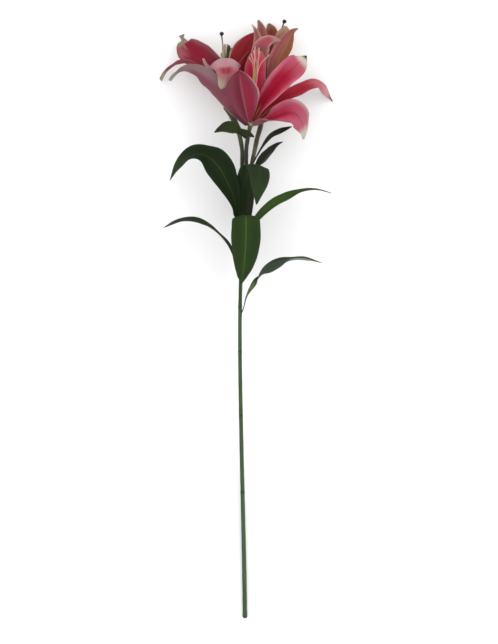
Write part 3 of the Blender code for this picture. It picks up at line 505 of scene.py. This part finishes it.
PETAL_LOOKS = {
    "front_inner": FRONT_INNER,
    "front_back_inner": dict(
        FRONT_INNER,
        bands=[(0, (192, 24, 52)), (0.4, (196, 34, 64)), (0.8, (194, 70, 92)), (1, (196, 104, 118))],
        zones=[THROAT, ((186, 100, 106), [("along", 0.7, 0.95)])],
    ),
    "front_upper_inner": dict(
        FRONT_INNER,
        zones=[
            THROAT,
            ((198, 108, 128), [("edge", 0.5, 1), ("side", 0, -0.4), ("along", 0.2, 0.45)]),
            ((176, 84, 102), [("along", 0.62, 0.9)]),
            ((206, 190, 178), [("along", 0.85, 0.93)]), ((30, 28, 28), [("along", 0.955, 0.975)]),
        ],
    ),
    "front_right_inner": dict(
        FRONT_INNER,
        bands=[(0, (172, 28, 50)), (0.7, (172, 38, 58)), (0.9, (172, 56, 74)), (1, (180, 92, 104))],
        zones=[
            THROAT, ((182, 98, 106), [("along", 0.58, 0.74)]), ((196, 142, 146), [("along", 0.74, 0.90)]),
            ((96, 84, 80), [("along", 0.92, 0.97)]),
        ],
        rib=((132, 18, 38), 0.08, 0.4, 0.6),
    ),
    "front_lower_inner": dict(
        FRONT_INNER,
        bands=[(0, (154, 24, 50)), (0.4, (160, 44, 70)), (0.8, (172, 74, 96)), (1, (182, 108, 120))],
        zones=[
            ((176, 90, 110), [("along", 0.45, 0.8)]),
            ((180, 82, 104), [("side", 0.1, 0.7), ("along", 0.2, 0.4)]),
            ((212, 168, 166), [
                ("edge", 0.78, 1), ("side", 0, 0.4), ("along", 0.05, 0.2), ("along", 0.5, 0.3),
            ]),
            ((176, 148, 142), [("edge", 0.66, 1), ("side", 0, -0.5), ("along", 0.45, 0.65)]),
            ((200, 196, 184), [("along", 0.80, 0.94)]),
        ],
    ),
    "front_near_outer": dict(
        FRONT_OUTER,
        zones=[
            ((136, 36, 56), [("side", 0, -0.3), ("edge", 0.8, 0.5), ("along", 0.95, 0.6)]),
            ((104, 38, 52), [("side", 0.03, 0.12), ("side", 0.6, 0.2), ("along", 0.95, 0.6)]),
            ((118, 58, 72), [("edge", 0.3, 0.85), ("side", 0, 0.3)]),
            ((196, 146, 150), [("edge", 0.86, 1), ("side", 0, -0.3), ("along", 0.25, 0.5)]),
            ((104, 60, 60), [("along", 0.12, 0)]),
        ],
        rib=((160, 92, 106), 0.08, 0.55, 0.7),
    ),
    "front_left_outer": dict(
        FRONT_OUTER,
        bands=[(0, (124, 64, 78)), (0.6, (124, 66, 78)), (1, (130, 76, 88))],
        zones=[
            # Painted shade: darker wine toward the base.
            ((104, 46, 56), [("along", 0.3, 0.1)]),
            ((156, 140, 130), [
                ("edge", 0.86, 1), ("side", 0, 0.3), ("along", 0.04, 0.1), ("along", 0.36, 0.26),
            ]),
            # Painted light: the next two paler grey-mauve zones, over the middle and the arch, lit from
            # above.
            ((134, 104, 108), [("side", 0.3, -0.4), ("along", 0.3, 0.6)]),
            ((134, 110, 112), [("along", 0.68, 0.82)]), ((166, 162, 152), [("along", 0.84, 0.95)]),
        ],
        rib=((120, 62, 76), 0.07, 0.5, 0.5),
    ),
    "front_outer": dict(
        FRONT_OUTER,
        zones=[((124, 78, 82), [("along", 0.24, 0.16)]), ((170, 166, 142), [("along", 0.09, 0.05)])],
    ),
    "left_inner": LEFT_INNER,
    "left_left_inner": dict(
        LEFT_INNER,
        zones=[
            ((130, 24, 44), [("along", 0.45, 0.62), ("edge", 0.8, 0.4)]),
            ((148, 80, 88), [("along", 0.66, 0.8), ("side", 0.2, -0.6)]),
            ((150, 134, 116), [("along", 0.84, 0.90)]),
            ((146, 112, 100), [("edge", 0.16, 0.04), ("along", 0.74, 0.84)]),
        ],
    ),
    "left_right_inner": dict(
        LEFT_INNER,
        bands=[(0, (140, 30, 40)), (0.7, (144, 34, 46)), (0.9, (146, 46, 56)), (1, (156, 82, 84))],
        zones=[
            # Painted shade: darker toward the base, where the petal lies low under the others.
            ((122, 20, 30), [("along", 0.62, 0.4)]),
            ((158, 100, 96), [("edge", 0.86, 1), ("along", 0.3, 0.6)]),
        ],
        rib=((118, 20, 30), 0.08, 0.4, 0.75),
    ),
    "left_outer": dict(
        FRONT_OUTER,
        bands=[(0, (146, 84, 92)), (0.5, (140, 74, 84)), (1, (162, 106, 112))],
        zones=[
            ((128, 74, 80), [("along", 0.55, 0.7)]), ((144, 104, 104), [("along", 0.76, 0.86)]),
            ((172, 166, 152), [("along", 0.88, 0.97)]),
        ],
    ),
    "left_near_outer": dict(
        FRONT_OUTER,
        bands=[(0, (168, 104, 116)), (0.5, (178, 120, 130)), (1, (182, 146, 148))],
        zones=[((150, 90, 96), [("along", 0.4, 0.2)])],
    ),
    # Painted light: the pale mauve of the bands over the arch is a painted sheen from the light above.
    "left_near_inner": dict(
        LEFT_INNER,
        bands=[(0, (174, 128, 134)), (0.5, (172, 134, 138)), (0.9, (168, 116, 122)), (1, (160, 96, 106))],
        zones=[
            ((172, 96, 106), [("along", 0.73, 0.80)]),
            ((146, 48, 62), [("along", 0.745, 0.78), ("along", 0.88, 0.81), ("edge", 0.7, 0.1)]),
            ((164, 106, 108), [("along", 0.81, 0.87)]),
            ((168, 154, 136), [("along", 0.865, 0.96)]),
            ((200, 172, 166), [("edge", 0.93, 1)]),
            ((204, 178, 172), [("side", 0.80, 0.97), ("along", 0.7, 0.5)]),
        ],
        rib=((176, 112, 120), 0.08, 0.4, 0.75), feather=0.16,
    ),
    "rear_inner": REAR_INNER,
    "rear_right_outer": dict(
        FRONT_OUTER,
        bands=[(0, (142, 82, 66)), (0.35, (152, 84, 82)), (0.7, (150, 74, 76)), (1, (172, 116, 110))],
        zones=[
            ((134, 82, 52), [("side", -0.1, -0.4)]),
            ((186, 152, 132), [("edge", 0.86, 1), ("side", 0, -0.3), ("along", 0.4, 0.6)]),
            ((146, 116, 92), [("along", 0.88, 0.97)]), ((120, 90, 60), [("along", 0.3, 0)]),
        ],
        rib=((136, 112, 62), 0.14, 0.8, 0.9),
    ),
    "rear_left_outer": dict(
        FRONT_OUTER,
        bands=[(0, (156, 86, 90)), (0.5, (174, 108, 108)), (0.85, (190, 132, 128)),
               (1, (200, 160, 150))],
        zones=[((126, 96, 62), [("along", 0.25, 0)]), ((204, 190, 178), [("along", 0.90, 0.98)])],
    ),
    "rear_near_outer": dict(
        FRONT_OUTER,
        bands=[(0, (166, 76, 86)), (0.5, (172, 88, 96)), (0.85, (184, 118, 118)), (1, (200, 160, 152))],
        zones=[
            ((126, 96, 62), [("along", 0.25, 0)]),
            ((210, 180, 174), [("edge", 0.8, 1), ("side", 0, -0.3), ("along", 0.55, 0.75)]),
            ((186, 142, 136), [("along", 0.84, 0.95)]),
        ],
    ),
    "rear_beige": dict(
        REAR_INNER,
        bands=[(0, (162, 116, 92)), (0.5, (168, 122, 98)), (1, (178, 142, 118))],
        zones=[((176, 148, 120), [("along", 0.85, 1)])],
    ),
    "rear_tip_inner": dict(
        REAR_INNER,
        bands=[(0, (150, 88, 82)), (0.5, (158, 98, 90)), (1, (172, 124, 112))],
        zones=[((120, 52, 50), [("along", 0.75, 0.5)]), ((150, 126, 112), [("along", 0.92, 1)])],
    ),
    "petal_strip": dict(
        LEFT_INNER,
        bands=[(0, (184, 146, 140)), (0.5, (192, 166, 156)), (1, (202, 184, 172))],
        zones=[((166, 100, 104), [("along", 0.4, 0.1)])], rib=((160, 98, 104), 0.2, 0.3, 0.7),
    ),
}

BRIGHT_BANDS = [(0, (42, 63, 26)), (0.55, (37, 55, 21)), (1, (39, 59, 25))]
LEAF_LOOKS = {
    "leaf_dark": dict(
        bands=[(0, (27, 42, 18)), (0.6, (23, 36, 16)), (1, (28, 44, 19))],
        zones=[((42, 64, 31), [("along", 0.72, 0.95)])], rib=((54, 78, 34), 0.07, 0.7, 0.5),
    ),
    "leaf_centre": dict(
        bands=[(0, (36, 50, 27)), (0.6, (33, 46, 26)), (1, (38, 52, 29))],
        zones=[((44, 56, 36), [("along", 0.5, 0.6)]), ((56, 70, 44), [("along", 0.66, 0.85)])],
        rib=((52, 70, 38), 0.10, 0.7, 0.6),
    ),
    "leaf_bright": dict(
        bands=BRIGHT_BANDS,
        zones=[((50, 72, 34), [("along", 0.88, 1)])], rib=((70, 98, 42), 0.07, 0.85, 0.9),
    ),
    "leaf_pale_foot": dict(
        bands=BRIGHT_BANDS,
        zones=[((100, 124, 78), [("along", 0.36, 0.28), ("along", 0.10, 0.16), ("edge", 0.9, 0.5)])],
        rib=((48, 66, 32), 0.07, 0.5, 0.9),
    ),
    "leaf_fresh": dict(
        bands=[(0, (64, 92, 42)), (0.5, (62, 90, 40)), (1, (58, 84, 36))],
        zones=[((52, 76, 31), [("along", 0.4, 0.7)]), ((40, 36, 30), [("along", 0.78, 0.90)])],
        rib=((50, 72, 32), 0.08, 0.6, 0.75),
    ),
    "leaf_narrow": dict(
        bands=[(0, (40, 58, 28)), (0.5, (38, 55, 26)), (1, (42, 58, 30))],
        zones=[((38, 46, 34), [("along", 0.5, 0.35)]), ((60, 74, 50), [("along", 0.85, 0.97)])],
        rib=((40, 54, 32), 0.10, 0.6, 0.9),
    ),
    "leaf_small": dict(
        bands=[(0, (50, 60, 34)), (0.5, (48, 56, 33)), (1, (52, 62, 38))],
        zones=[((38, 44, 28), [("along", 0.8, 1)])], rib=((40, 46, 28), 0.10, 0.5, 0.9),
    ),
    "leaf_centre_under": dict(
        bands=[(0, (38, 50, 28)), (0.5, (36, 48, 27)), (1, (40, 54, 31))],
        zones=[((46, 62, 35), [("along", 0.72, 0.95)])], rib=((44, 58, 32), 0.10, 0.6, 0.9),
    ),
    "leaf_under": dict(
        roughness=0.6,
        bands=[(0, (50, 60, 44)), (0.5, (44, 54, 38)), (1, (50, 62, 45))],
        zones=[((56, 72, 40), [("along", 0.2, 0)])], rib=((60, 74, 50), 0.09, 0.7, 0.8),
    ),
    "leaf_grey": dict(
        roughness=0.6,
        bands=[(0, (58, 70, 58)), (0.5, (60, 70, 58)), (1, (66, 78, 66))],
        zones=[
            ((110, 132, 92), [("along", 0.30, 0.24), ("along", 0.06, 0.14)]),
            ((132, 142, 128), [("along", 0.67, 0.72)]),
            ((46, 62, 38), [("side", 0.35, 0.6), ("along", 0.5, 0.6)]),
        ],
        rib=((50, 62, 50), 0.10, 0.5, 0.6),
    ),
    "leaf_shaded": dict(
        bands=[(0, (56, 54, 44)), (0.5, (52, 50, 42)), (1, (58, 58, 48))],
        zones=[((30, 34, 26), [("along", 0.3, 0)])], rib=((66, 66, 54), 0.09, 0.5, 0.9),
    ),
    "leaf_shaded_grey": dict(
        bands=[(0, (56, 56, 50)), (0.5, (52, 52, 46)), (1, (62, 64, 56))],
        zones=[((30, 32, 26), [("along", 0.3, 0)]),
               ((84, 88, 72), [("side", 0.2, 0.7), ("along", 0.35, 0.5), ("along", 0.75, 0.6)])],
        rib=((46, 46, 40), 0.09, 0.5, 0.9),
    ),
}


def stalk_material(name, look):
    """A stem, stalk, filament or style: colours from one end to the other, bloom, specks and streaks, and
    where asked a painted highlight down one side and painted shade down the other.
    """
    nodes = Nodes(name)
    _, around, along, place = nodes.places()
    clouds = nodes.noise(nodes.stretched(place, (160, 30, 160)), 1, 3)
    streaks = nodes.noise(nodes.stretched(place, (900, 60, 900)), 1, 2)
    specks = nodes.noise(place, 1100, 1)
    drift = nodes.math("MULTIPLY", nodes.math("SUBTRACT", clouds, 0.5), look["drift"])
    colour = nodes.ramp(nodes.math("ADD", along, drift, clamp=True), look["bands"])
    patch = nodes.math("MULTIPLY", nodes.step(clouds, 0.45, 0.68), look["bloom_by"])
    colour = nodes.mix(patch, colour, linear(look["bloom"]))
    # Painted light: a highlight down one side of the stalk and painted shade down the opposite side.
    if "sides" in look:
        turn = nodes.math("ABSOLUTE", nodes.math("SUBTRACT", nodes.math("MULTIPLY", around, 2), 1))
        for painted_side_colour, (start, full) in zip(look["sides"], ((0.62, 0.95), (0.40, 0.10))):
            amount = nodes.math("MULTIPLY", nodes.step(turn, start, full), 0.7)
            colour = nodes.mix(amount, colour, linear(painted_side_colour))
    dark = nodes.math("MULTIPLY", nodes.step(specks, 0.62, 0.75), look["specks"])
    colour = nodes.mix(dark, colour, linear(look["speck"]))
    colour = nodes.shaded(colour, nodes.math("ADD", nodes.math("MULTIPLY", streaks, 0.4), 0.8))
    height = nodes.math("ADD", streaks, nodes.math("MULTIPLY", specks, 0.3))
    roughness = nodes.math("ADD", nodes.math("MULTIPLY", clouds, 0.2), 0.4)
    return nodes.finish(colour, height, look["bump"], {"Specular IOR Level": look["specular"]}, roughness)


STALK_LOOKS = {
    "stem": {
        "bands": [(0, (30, 36, 26)), (0.006, (60, 76, 54)), (0.279, (62, 80, 56)), (0.282, (34, 42, 28)),
                  (0.286, (60, 78, 54)), (0.450, (58, 76, 49)), (0.453, (38, 48, 30)), (0.456, (58, 76, 49)),
                  (0.594, (54, 72, 44)), (0.597, (32, 40, 26)), (0.600, (54, 72, 44)), (0.8, (46, 62, 34)),
                  (1, (40, 50, 28))],
        "bloom": (78, 94, 70), "speck": (38, 50, 30), "drift": 0.002, "specular": 0.12,
        # Painted light: the first of the sides is a painted highlight down the right side, the second
        # painted shade down the left.
        "sides": ((104, 120, 92), (42, 58, 34)),
    },
    "pedicel_green": {
        "bands": [(0, (56, 60, 42)), (0.5, (52, 62, 34)), (1, (58, 62, 36))],
        "bloom": (84, 86, 68), "speck": (34, 40, 24),
    },
    "pedicel_olive": {
        "bands": [(0, (52, 50, 36)), (0.5, (70, 66, 40)), (1, (66, 60, 34))],
        "bloom": (120, 124, 98), "speck": (40, 36, 24),
    },
    "pedicel_receptacle": {
        "bands": [(0, (48, 52, 35)), (0.6, (38, 46, 25)), (0.86, (58, 66, 38)), (1, (128, 122, 98))],
        "bloom": (88, 88, 66), "speck": (40, 42, 28), "bloom_by": 0.25,
    },
    "filament": {
        "bands": [(0, (150, 140, 84)), (0.5, (190, 128, 122)), (0.85, (200, 128, 128)),
                  (1, (204, 156, 148))],
        "bloom": (206, 170, 160), "speck": (150, 70, 76), "specks": 0.2, "bump": 0.08,
    },
    "filament_cream": {
        "bands": [(0, (150, 130, 90)), (0.4, (146, 134, 100)), (0.9, (158, 144, 112)),
                  (1, (140, 120, 96))],
        "bloom": (176, 164, 136), "speck": (112, 92, 70), "specks": 0.2, "bump": 0.08,
    },
    "filament_dark": {
        "bands": [(0, (120, 100, 78)), (0.55, (110, 88, 70)), (0.75, (44, 38, 34)), (1, (38, 32, 30))],
        "bloom": (96, 78, 62), "speck": (30, 24, 22), "bloom_by": 0.2, "bump": 0.2,
    },
    "style_green": {
        "bands": [(0, (140, 148, 66)), (0.66, (140, 148, 66)), (0.76, (196, 132, 122)),
                  (0.925, (186, 120, 112)), (0.95, (88, 62, 54)), (1, (70, 52, 46))],
        "bloom": (160, 164, 92), "bloom_by": 0.2, "speck": (120, 112, 60),
        "drift": 0.02, "specks": 0.15, "bump": 0.12,
    },
    "style_cream": {
        "bands": [(0, (150, 146, 100)), (0.5, (146, 132, 100)), (0.86, (128, 108, 84)),
                  (0.90, (34, 22, 20)), (1, (22, 16, 15))],
        "bloom": (164, 152, 120), "bloom_by": 0.15, "speck": (110, 94, 70),
        "drift": 0.02, "specks": 0.15, "bump": 0.12,
    },
}


# ---------------- shapes

def lengths(points):
    """How far along the points each one lies."""
    steps = np.linalg.norm(np.diff(points[:, :3], axis=0), axis=1)
    return np.concatenate([[0.0], np.cumsum(steps)])


def smooth_path(points, count, closer_ends=False):
    """A Catmull-Rom curve through the points, read at even lengths, or closer together at its ends."""
    knots = np.array(points, dtype=float)
    padded = np.vstack([2 * knots[0] - knots[1], knots, 2 * knots[-1] - knots[-2]])
    dense = []
    for before, start, end, after in zip(padded, padded[1:], padded[2:], padded[3:]):
        for step in np.linspace(0.0, 1.0, 24, endpoint=False):
            first = (end - before) * step
            square = (2 * before - 5 * start + 4 * end - after) * step ** 2
            cube = (3 * start - before - 3 * end + after) * step ** 3
            dense.append(start + 0.5 * (first + square + cube))
    dense = np.array(dense + [knots[-1]])
    run = lengths(dense)
    shares = np.linspace(0.0, 1.0, count)
    if closer_ends:
        shares = 0.5 - 0.5 * np.cos(np.pi * shares)
    return np.stack([np.interp(shares * run[-1], run, column) for column in dense.T], axis=1), shares


def unit(vectors):
    return vectors / np.linalg.norm(vectors, axis=-1, keepdims=True)


def rise(values, low, high):
    """0 at low, 1 at high, smooth between."""
    share = np.clip((values - low) / (high - low), 0.0, 1.0)
    return share * share * (3 - 2 * share)


def hump(values, place, reach):
    """1 at the place, fading to 0 beyond the reach on both sides."""
    return np.exp(-((values - place) / reach) ** 2)


def relief(share, side, half, form):
    """How far a sheet's points stand off its smooth curl: midrib groove, fold, margin ripple and pleats."""
    edge = np.abs(side)
    groove = hump(side, 0.0, 0.09) - 0.4 * hump(edge, 0.22, 0.1)
    lift = -form["groove"] * groove * (1 - 0.6 * share) * np.clip(half / 8, 0.0, 1.0)
    lift = lift + form["fold"] * half * (edge - 0.5) * rise(share, 0.0, 0.2)
    turns = 2 * np.pi * form["turns"] * share
    phase = form["phase"] + np.sign(side) * 1.3
    wave = np.sin(turns + phase) + 0.5 * np.sin(2.3 * turns + 2 * phase)
    lift = lift + form["ripple"] * edge ** 3 * rise(share, 0.2, 0.5) * np.clip(half / 8, 0.0, 1.0) * wave
    pleat = form["pleat"] * np.cos(edge * 14 + 0.6) * (1 - edge) * rise(share, 0.05, 0.3)
    return lift + pleat * np.clip(half / 12, 0.0, 1.0)


def sheet_grid(piece, form):
    """Points of a leaf or petal: rows along the midrib, columns across, as an array of x, y, z."""
    curl, stations = piece
    path, shares = smooth_path(stations, ROWS + 1)
    middle = path[:, :3]
    along = unit(np.gradient(middle, axis=0))
    facing = path[:, 3:6]
    facing = unit(facing - np.sum(facing * along, axis=1, keepdims=True) * along)
    across = np.cross(along, facing)
    side = np.linspace(-1.0, 1.0, COLUMNS + 1)[None, :]
    share = shares[:, None]
    bend = np.radians(np.interp(share, (0.0, 0.5, 1.0), curl))
    half = path[:, 6][:, None] / 2
    half = half * (1 + form["nibble"] * np.sin(share * 41 + side * 3) * rise(share, 0.1, 0.3))
    sideways = half * side * np.sinc(bend * side / np.pi)
    lift = sideways * np.tan(bend * side / 2) + relief(share, side, half, form)
    return middle[:, None] + across[:, None] * sideways[..., None] + facing[:, None] * lift[..., None]


def middle_of(points):
    flat = points.reshape(-1, 3)
    return (flat.min(axis=0) + flat.max(axis=0)) / 2


def grid_object(name, points, shares, closed_around=False):
    """A smooth mesh of a grid of points in millimetres, with a UV map across and along it."""
    rows, columns = points.shape[0] - 1, points.shape[1] - 1
    mesh = bpy.data.meshes.new(name)
    around = columns if closed_around else columns + 1
    verts = points[:, :around].reshape(-1, 3) * MM
    faces = []
    corners = []
    for row in range(rows):
        for column in range(columns):
            cells = ((row, column), (row, column + 1), (row + 1, column + 1), (row + 1, column))
            faces.append([r * around + c % around for r, c in cells])
            corners.extend((c / columns, shares[r]) for r, c in cells)
    mesh.from_pydata(verts.tolist(), [], faces)
    layer = mesh.uv_layers.new(name="UVMap")
    layer.data.foreach_set("uv", np.array(corners, dtype=np.float32).ravel())
    mesh.shade_smooth()
    item = bpy.data.objects.new(name, mesh)
    bpy.context.scene.collection.objects.link(item)
    return item


def add_sheet(node, piece, form, thickness):
    """The fine leaf or petal that stands for a CAD node, with a material on each face."""
    low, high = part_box(node)
    shift = np.array((low + high) / 2) / MM - middle_of(sheet_grid(piece, PLAIN_FORM))
    if node in ROOTS:
        piece = (piece[0], [ROOTS[node]] + piece[1])
    item = grid_object(f"{node}_fine", sheet_grid(piece, form) + shift, np.linspace(0.0, 1.0, ROWS + 1))
    for face in FACES[node]:
        item.data.materials.append(MATERIALS[face])
    group = item.vertex_groups.new(name="body")
    for index in range(len(item.data.vertices)):
        edge = abs(2 * (index % (COLUMNS + 1)) / COLUMNS - 1)
        group.add([index], 1.0 - edge ** 2, "REPLACE")
    shell = item.modifiers.new("thickness", "SOLIDIFY")
    shell.thickness = thickness * MM
    shell.offset = 0.0
    shell.vertex_group = group.name
    shell.thickness_vertex_group = MARGIN_SHARE
    shell.material_offset = 1
    shell.material_offset_rim = 0
    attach(item, "root")
    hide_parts(node)


def add_tube(node, points, radii, look, segments, lobes=0, lobe_depth=0.0):
    """The round or lobed stalk through the points in millimetres that stands for a CAD node."""
    along = unit(np.gradient(points, axis=0))
    side = np.cross(along[0], (0.0, 0.0, 1.0))
    sides = []
    for direction in along:
        side = unit(side - np.dot(side, direction) * direction)
        sides.append(side)
    sides = np.array(sides)
    others = np.cross(along, sides)
    angles = np.linspace(0.0, 2 * np.pi, segments + 1)
    radii = np.reshape(radii, (-1, 1)) * (1 + np.reshape(lobe_depth, (-1, 1)) * np.cos(lobes * angles))
    rings = (points[:, None] + sides[:, None] * (radii * np.cos(angles))[..., None]
             + others[:, None] * (radii * np.sin(angles))[..., None])
    run = lengths(points)
    item = grid_object(f"{node}_fine", rings, run / run[-1], closed_around=True)
    item.data.materials.append(MATERIALS[look])
    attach(item, "root")
    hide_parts(node)


def rounded(radii, run, start, end):
    """Radii that round off over the first and the last stretch, given in millimetres."""
    radii = np.array(radii, dtype=float)
    for distance, reach in ((run, start), (run[-1] - run, end)):
        inward = np.clip(distance / reach, 0.0, 1.0)
        radii = radii * np.sqrt(np.maximum(1 - (1 - inward) ** 2, 0.0004))
    return radii


def add_stem():
    """The main stem with its leaf nodes, scars and a rounded, sealed cut end that lies on the floor."""
    points, shares = smooth_path(STEM_ROUTE, 420, closer_ends=True)
    run = lengths(points)
    radii = STEM_END_RADIUS + (STEM_TOP_RADIUS - STEM_END_RADIUS) * shares
    for place, size, reach in STEM_SWELLINGS:
        radii = radii + size * hump(points[:, 1], place, reach)
    for distance, size, reach in STEM_END_SHAPE:
        radii = radii + size * hump(run, distance, reach)
    radii = radii * (1 + 0.012 * np.sin(run / 7.0) + 0.01 * np.sin(run / 2.9))
    radii = np.minimum(rounded(radii, run, 2.2, 2.5), points[:, 2] + 0.15)
    add_tube("stem", points, radii, "stem", segments=28, lobes=5, lobe_depth=0.012)


def add_pedicels():
    """The flower stalks, each with its foot in the stem and a cup that carries the petals."""
    for node, (look, route) in PEDICELS.items():
        path, _ = smooth_path(route, 120, closer_ends=True)
        run = lengths(path)
        radii = rounded(path[:, 3] * (1 + 0.03 * np.sin(run / 3.3)), run, 3.0, 6.0)
        depth = 0.03 + 0.08 * rise(run[-1] - run, 14.0, 4.0)
        add_tube(node, path[:, :3], radii, look, segments=24, lobes=6, lobe_depth=depth)


def add_flower_middle(flower, filament_look, style_look):
    """The six filaments and the style with its three-lobed stigma."""
    base = np.array(FLOWER_BASES[flower])
    throat = np.array(FLOWER_THROATS[flower])
    for number, (degrees, tip) in enumerate(zip(FILAMENT_ANGLES, FILAMENT_TIPS[flower]), start=1):
        node = f"{flower}_stamen_{number}"
        angle = math.radians(degrees)
        ring = FILAMENT_SPREAD * np.array([math.cos(angle), 0.0, math.sin(angle)])
        points, shares = smooth_path([base + ring, throat + ring, tip], 60, closer_ends=True)
        run = lengths(points)
        radii = FILAMENT_RADII[flower] - FILAMENT_TAPER * shares ** 1.5
        if node == ANTHER_NODE:
            radii = radii + ANTHER_SWELLING * hump(run[-1] - run, 4.5, 3.4)
        look = "filament_dark" if node == ANTHER_NODE else filament_look
        add_tube(node, points, rounded(radii, run, 1.2, 1.0), look, segments=12)
    points, shares = smooth_path([base, throat, STYLE_TIPS[flower]], 110, closer_ends=True)
    run = lengths(points)
    from_end = run[-1] - run
    radii = STYLE_RADIUS - STYLE_TAPER * rise(shares, 0.62, 0.76)
    radii = rounded(radii + STIGMA_SWELLING * rise(from_end, 6.0, 3.2), run, 2.0, 2.8)
    depth = 0.05 + 0.11 * rise(from_end, 6.5, 3.0)
    add_tube(f"{flower}_pistil", points, radii, style_look, segments=30, lobes=3, lobe_depth=depth)


# ---------------- the object

MATERIALS = {}
for make_material, body, looks in (
    (blade_material, PETAL_BODY, PETAL_LOOKS),
    (blade_material, LEAF_BODY, LEAF_LOOKS),
    (stalk_material, STALK_BODY, STALK_LOOKS),
):
    for name, look in looks.items():
        MATERIALS[name] = make_material(name, {**body, **look})

# Each sheet: its upper or inner face and its other face.
FACES = {
    "leaf_left_small": ("leaf_small", "leaf_under"),
    "leaf_right_small": ("leaf_small", "leaf_under"),
    "leaf_left_large": ("leaf_dark", "leaf_under"),
    "leaf_hanging": ("leaf_bright", "leaf_under"),
    "leaf_centre": ("leaf_centre", "leaf_centre_under"),
    "leaf_right": ("leaf_fresh", "leaf_under"),
    "leaf_left_narrow": ("leaf_narrow", "leaf_under"),
    "leaf_right_lower": ("leaf_pale_foot", "leaf_grey"),
    "leaf_upper_right": ("leaf_shaded", "leaf_under"),
    "leaf_upper_right_short": ("leaf_shaded_grey", "leaf_grey"),
    "leaf_behind": ("leaf_shaded", "leaf_under"),
    "front_petal_left": ("front_inner", "front_left_outer"),
    "front_petal_near": ("front_inner", "front_near_outer"),
    "front_petal_back": ("front_back_inner", "front_outer"),
    "front_petal_upper": ("front_upper_inner", "front_outer"),
    "front_petal_right": ("front_right_inner", "front_outer"),
    "front_petal_lower": ("front_lower_inner", "front_outer"),
    "left_petal_left": ("left_left_inner", "left_outer"),
    "left_petal_far": ("left_inner", "left_outer"),
    "left_petal_right": ("left_right_inner", "left_outer"),
    "left_petal_near": ("left_near_inner", "left_near_outer"),
    "left_petal_inner": ("left_right_inner", "left_right_inner"),
    "left_petal_under": ("left_inner", "left_outer"),
    "left_petal_curl": ("petal_strip", "petal_strip"),
    "rear_petal_right": ("rear_inner", "rear_right_outer"),
    "rear_petal_beige": ("rear_beige", "rear_right_outer"),
    "rear_petal_top": ("rear_inner", "rear_right_outer"),
    "rear_petal_tip": ("rear_tip_inner", "rear_left_outer"),
    "rear_petal_left": ("rear_inner", "rear_left_outer"),
    "rear_petal_near": ("rear_inner", "rear_near_outer"),
}

add_stem()
add_pedicels()
for index, (node, piece) in enumerate(LEAVES.items()):
    slot_name = "shaded_leaf" if node == "leaf_behind" else "leaf"
    add_sheet(node, piece, dict(LEAF_FORM, phase=1.7 * index), LEAF_THICKNESS)
for slot_name, petals in (
    ("front_petal", FRONT_PETALS), ("left_petal", LEFT_PETALS), ("rear_petal", REAR_PETALS),
):
    for index, (node, piece) in enumerate(petals.items()):
        add_sheet(node, piece, dict(PETAL_FORM, phase=2.1 * index), PETAL_THICKNESS)
add_flower_middle("front", "filament", "style_green")
add_flower_middle("left", "filament_cream", "style_cream")
add_flower_middle("rear", "filament", "style_cream")


# ---------------- floor, light and camera

def add_floor(level):
    """A plain pale floor at the lily's lowest point."""
    mesh = bpy.data.meshes.new("floor")
    corners = [(x * FLOOR_HALF, y * FLOOR_HALF, level) for x, y in ((-1, -1), (1, -1), (1, 1), (-1, 1))]
    mesh.from_pydata(corners, [], [(0, 1, 2, 3)])
    floor = bpy.data.objects.new("floor", mesh)
    bpy.context.scene.collection.objects.link(floor)
    nodes = Nodes("floor")
    place = nodes.places()[3]
    colour = nodes.ramp(nodes.noise(place, 3.0, 2.0), [(0.0, (247, 247, 247)), (1.0, (251, 251, 251))])
    mesh.materials.append(nodes.finish(colour, nodes.noise(place, 300.0, 2.0), 0.02, {"Roughness": 0.9}))


def add_area(name, location, target, size, power):
    """A round soft light at the location, turned to the target."""
    data = bpy.data.lights.new(name, "AREA")
    data.shape = "DISK"
    data.size = size
    data.energy = power
    lamp = bpy.data.objects.new(name, data)
    lamp.location = location
    lamp.rotation_euler = (Vector(target) - Vector(location)).to_track_quat("-Z", "Y").to_euler()
    bpy.context.scene.collection.objects.link(lamp)


def add_world():
    """Even white light from all around."""
    world = bpy.data.worlds.new("studio")
    world.use_nodes = True
    background = world.node_tree.nodes["Background"]
    background.inputs["Color"].default_value = (1.0, 1.0, 1.0, 1.0)
    background.inputs["Strength"].default_value = WORLD_STRENGTH
    bpy.context.scene.world = world


def add_camera():
    """Straight above the lily, its upright direction up in the picture."""
    data = bpy.data.cameras.new("camera")
    data.sensor_width = 36.0
    data.lens = data.sensor_width * CAMERA_DISTANCE / VIEW_HEIGHT
    data.clip_end = 100.0
    camera = bpy.data.objects.new("camera", data)
    camera.location = (0.004, -0.004, CAMERA_DISTANCE + 0.03)
    bpy.context.scene.collection.objects.link(camera)
    bpy.context.scene.camera = camera


low_corner, high_corner = CAD_BOX
middle = (low_corner + high_corner) / 2
add_floor(low_corner.z)
add_area("key", (2.2, 1.6, 3.2), middle, size=2.6, power=24.0)
add_area("fill", (-2.8, -0.6, 2.6), middle, size=2.4, power=8.0)
add_world()
add_camera()
bpy.context.scene.view_settings.view_transform = "Standard"

bpy.context.view_layer.update()
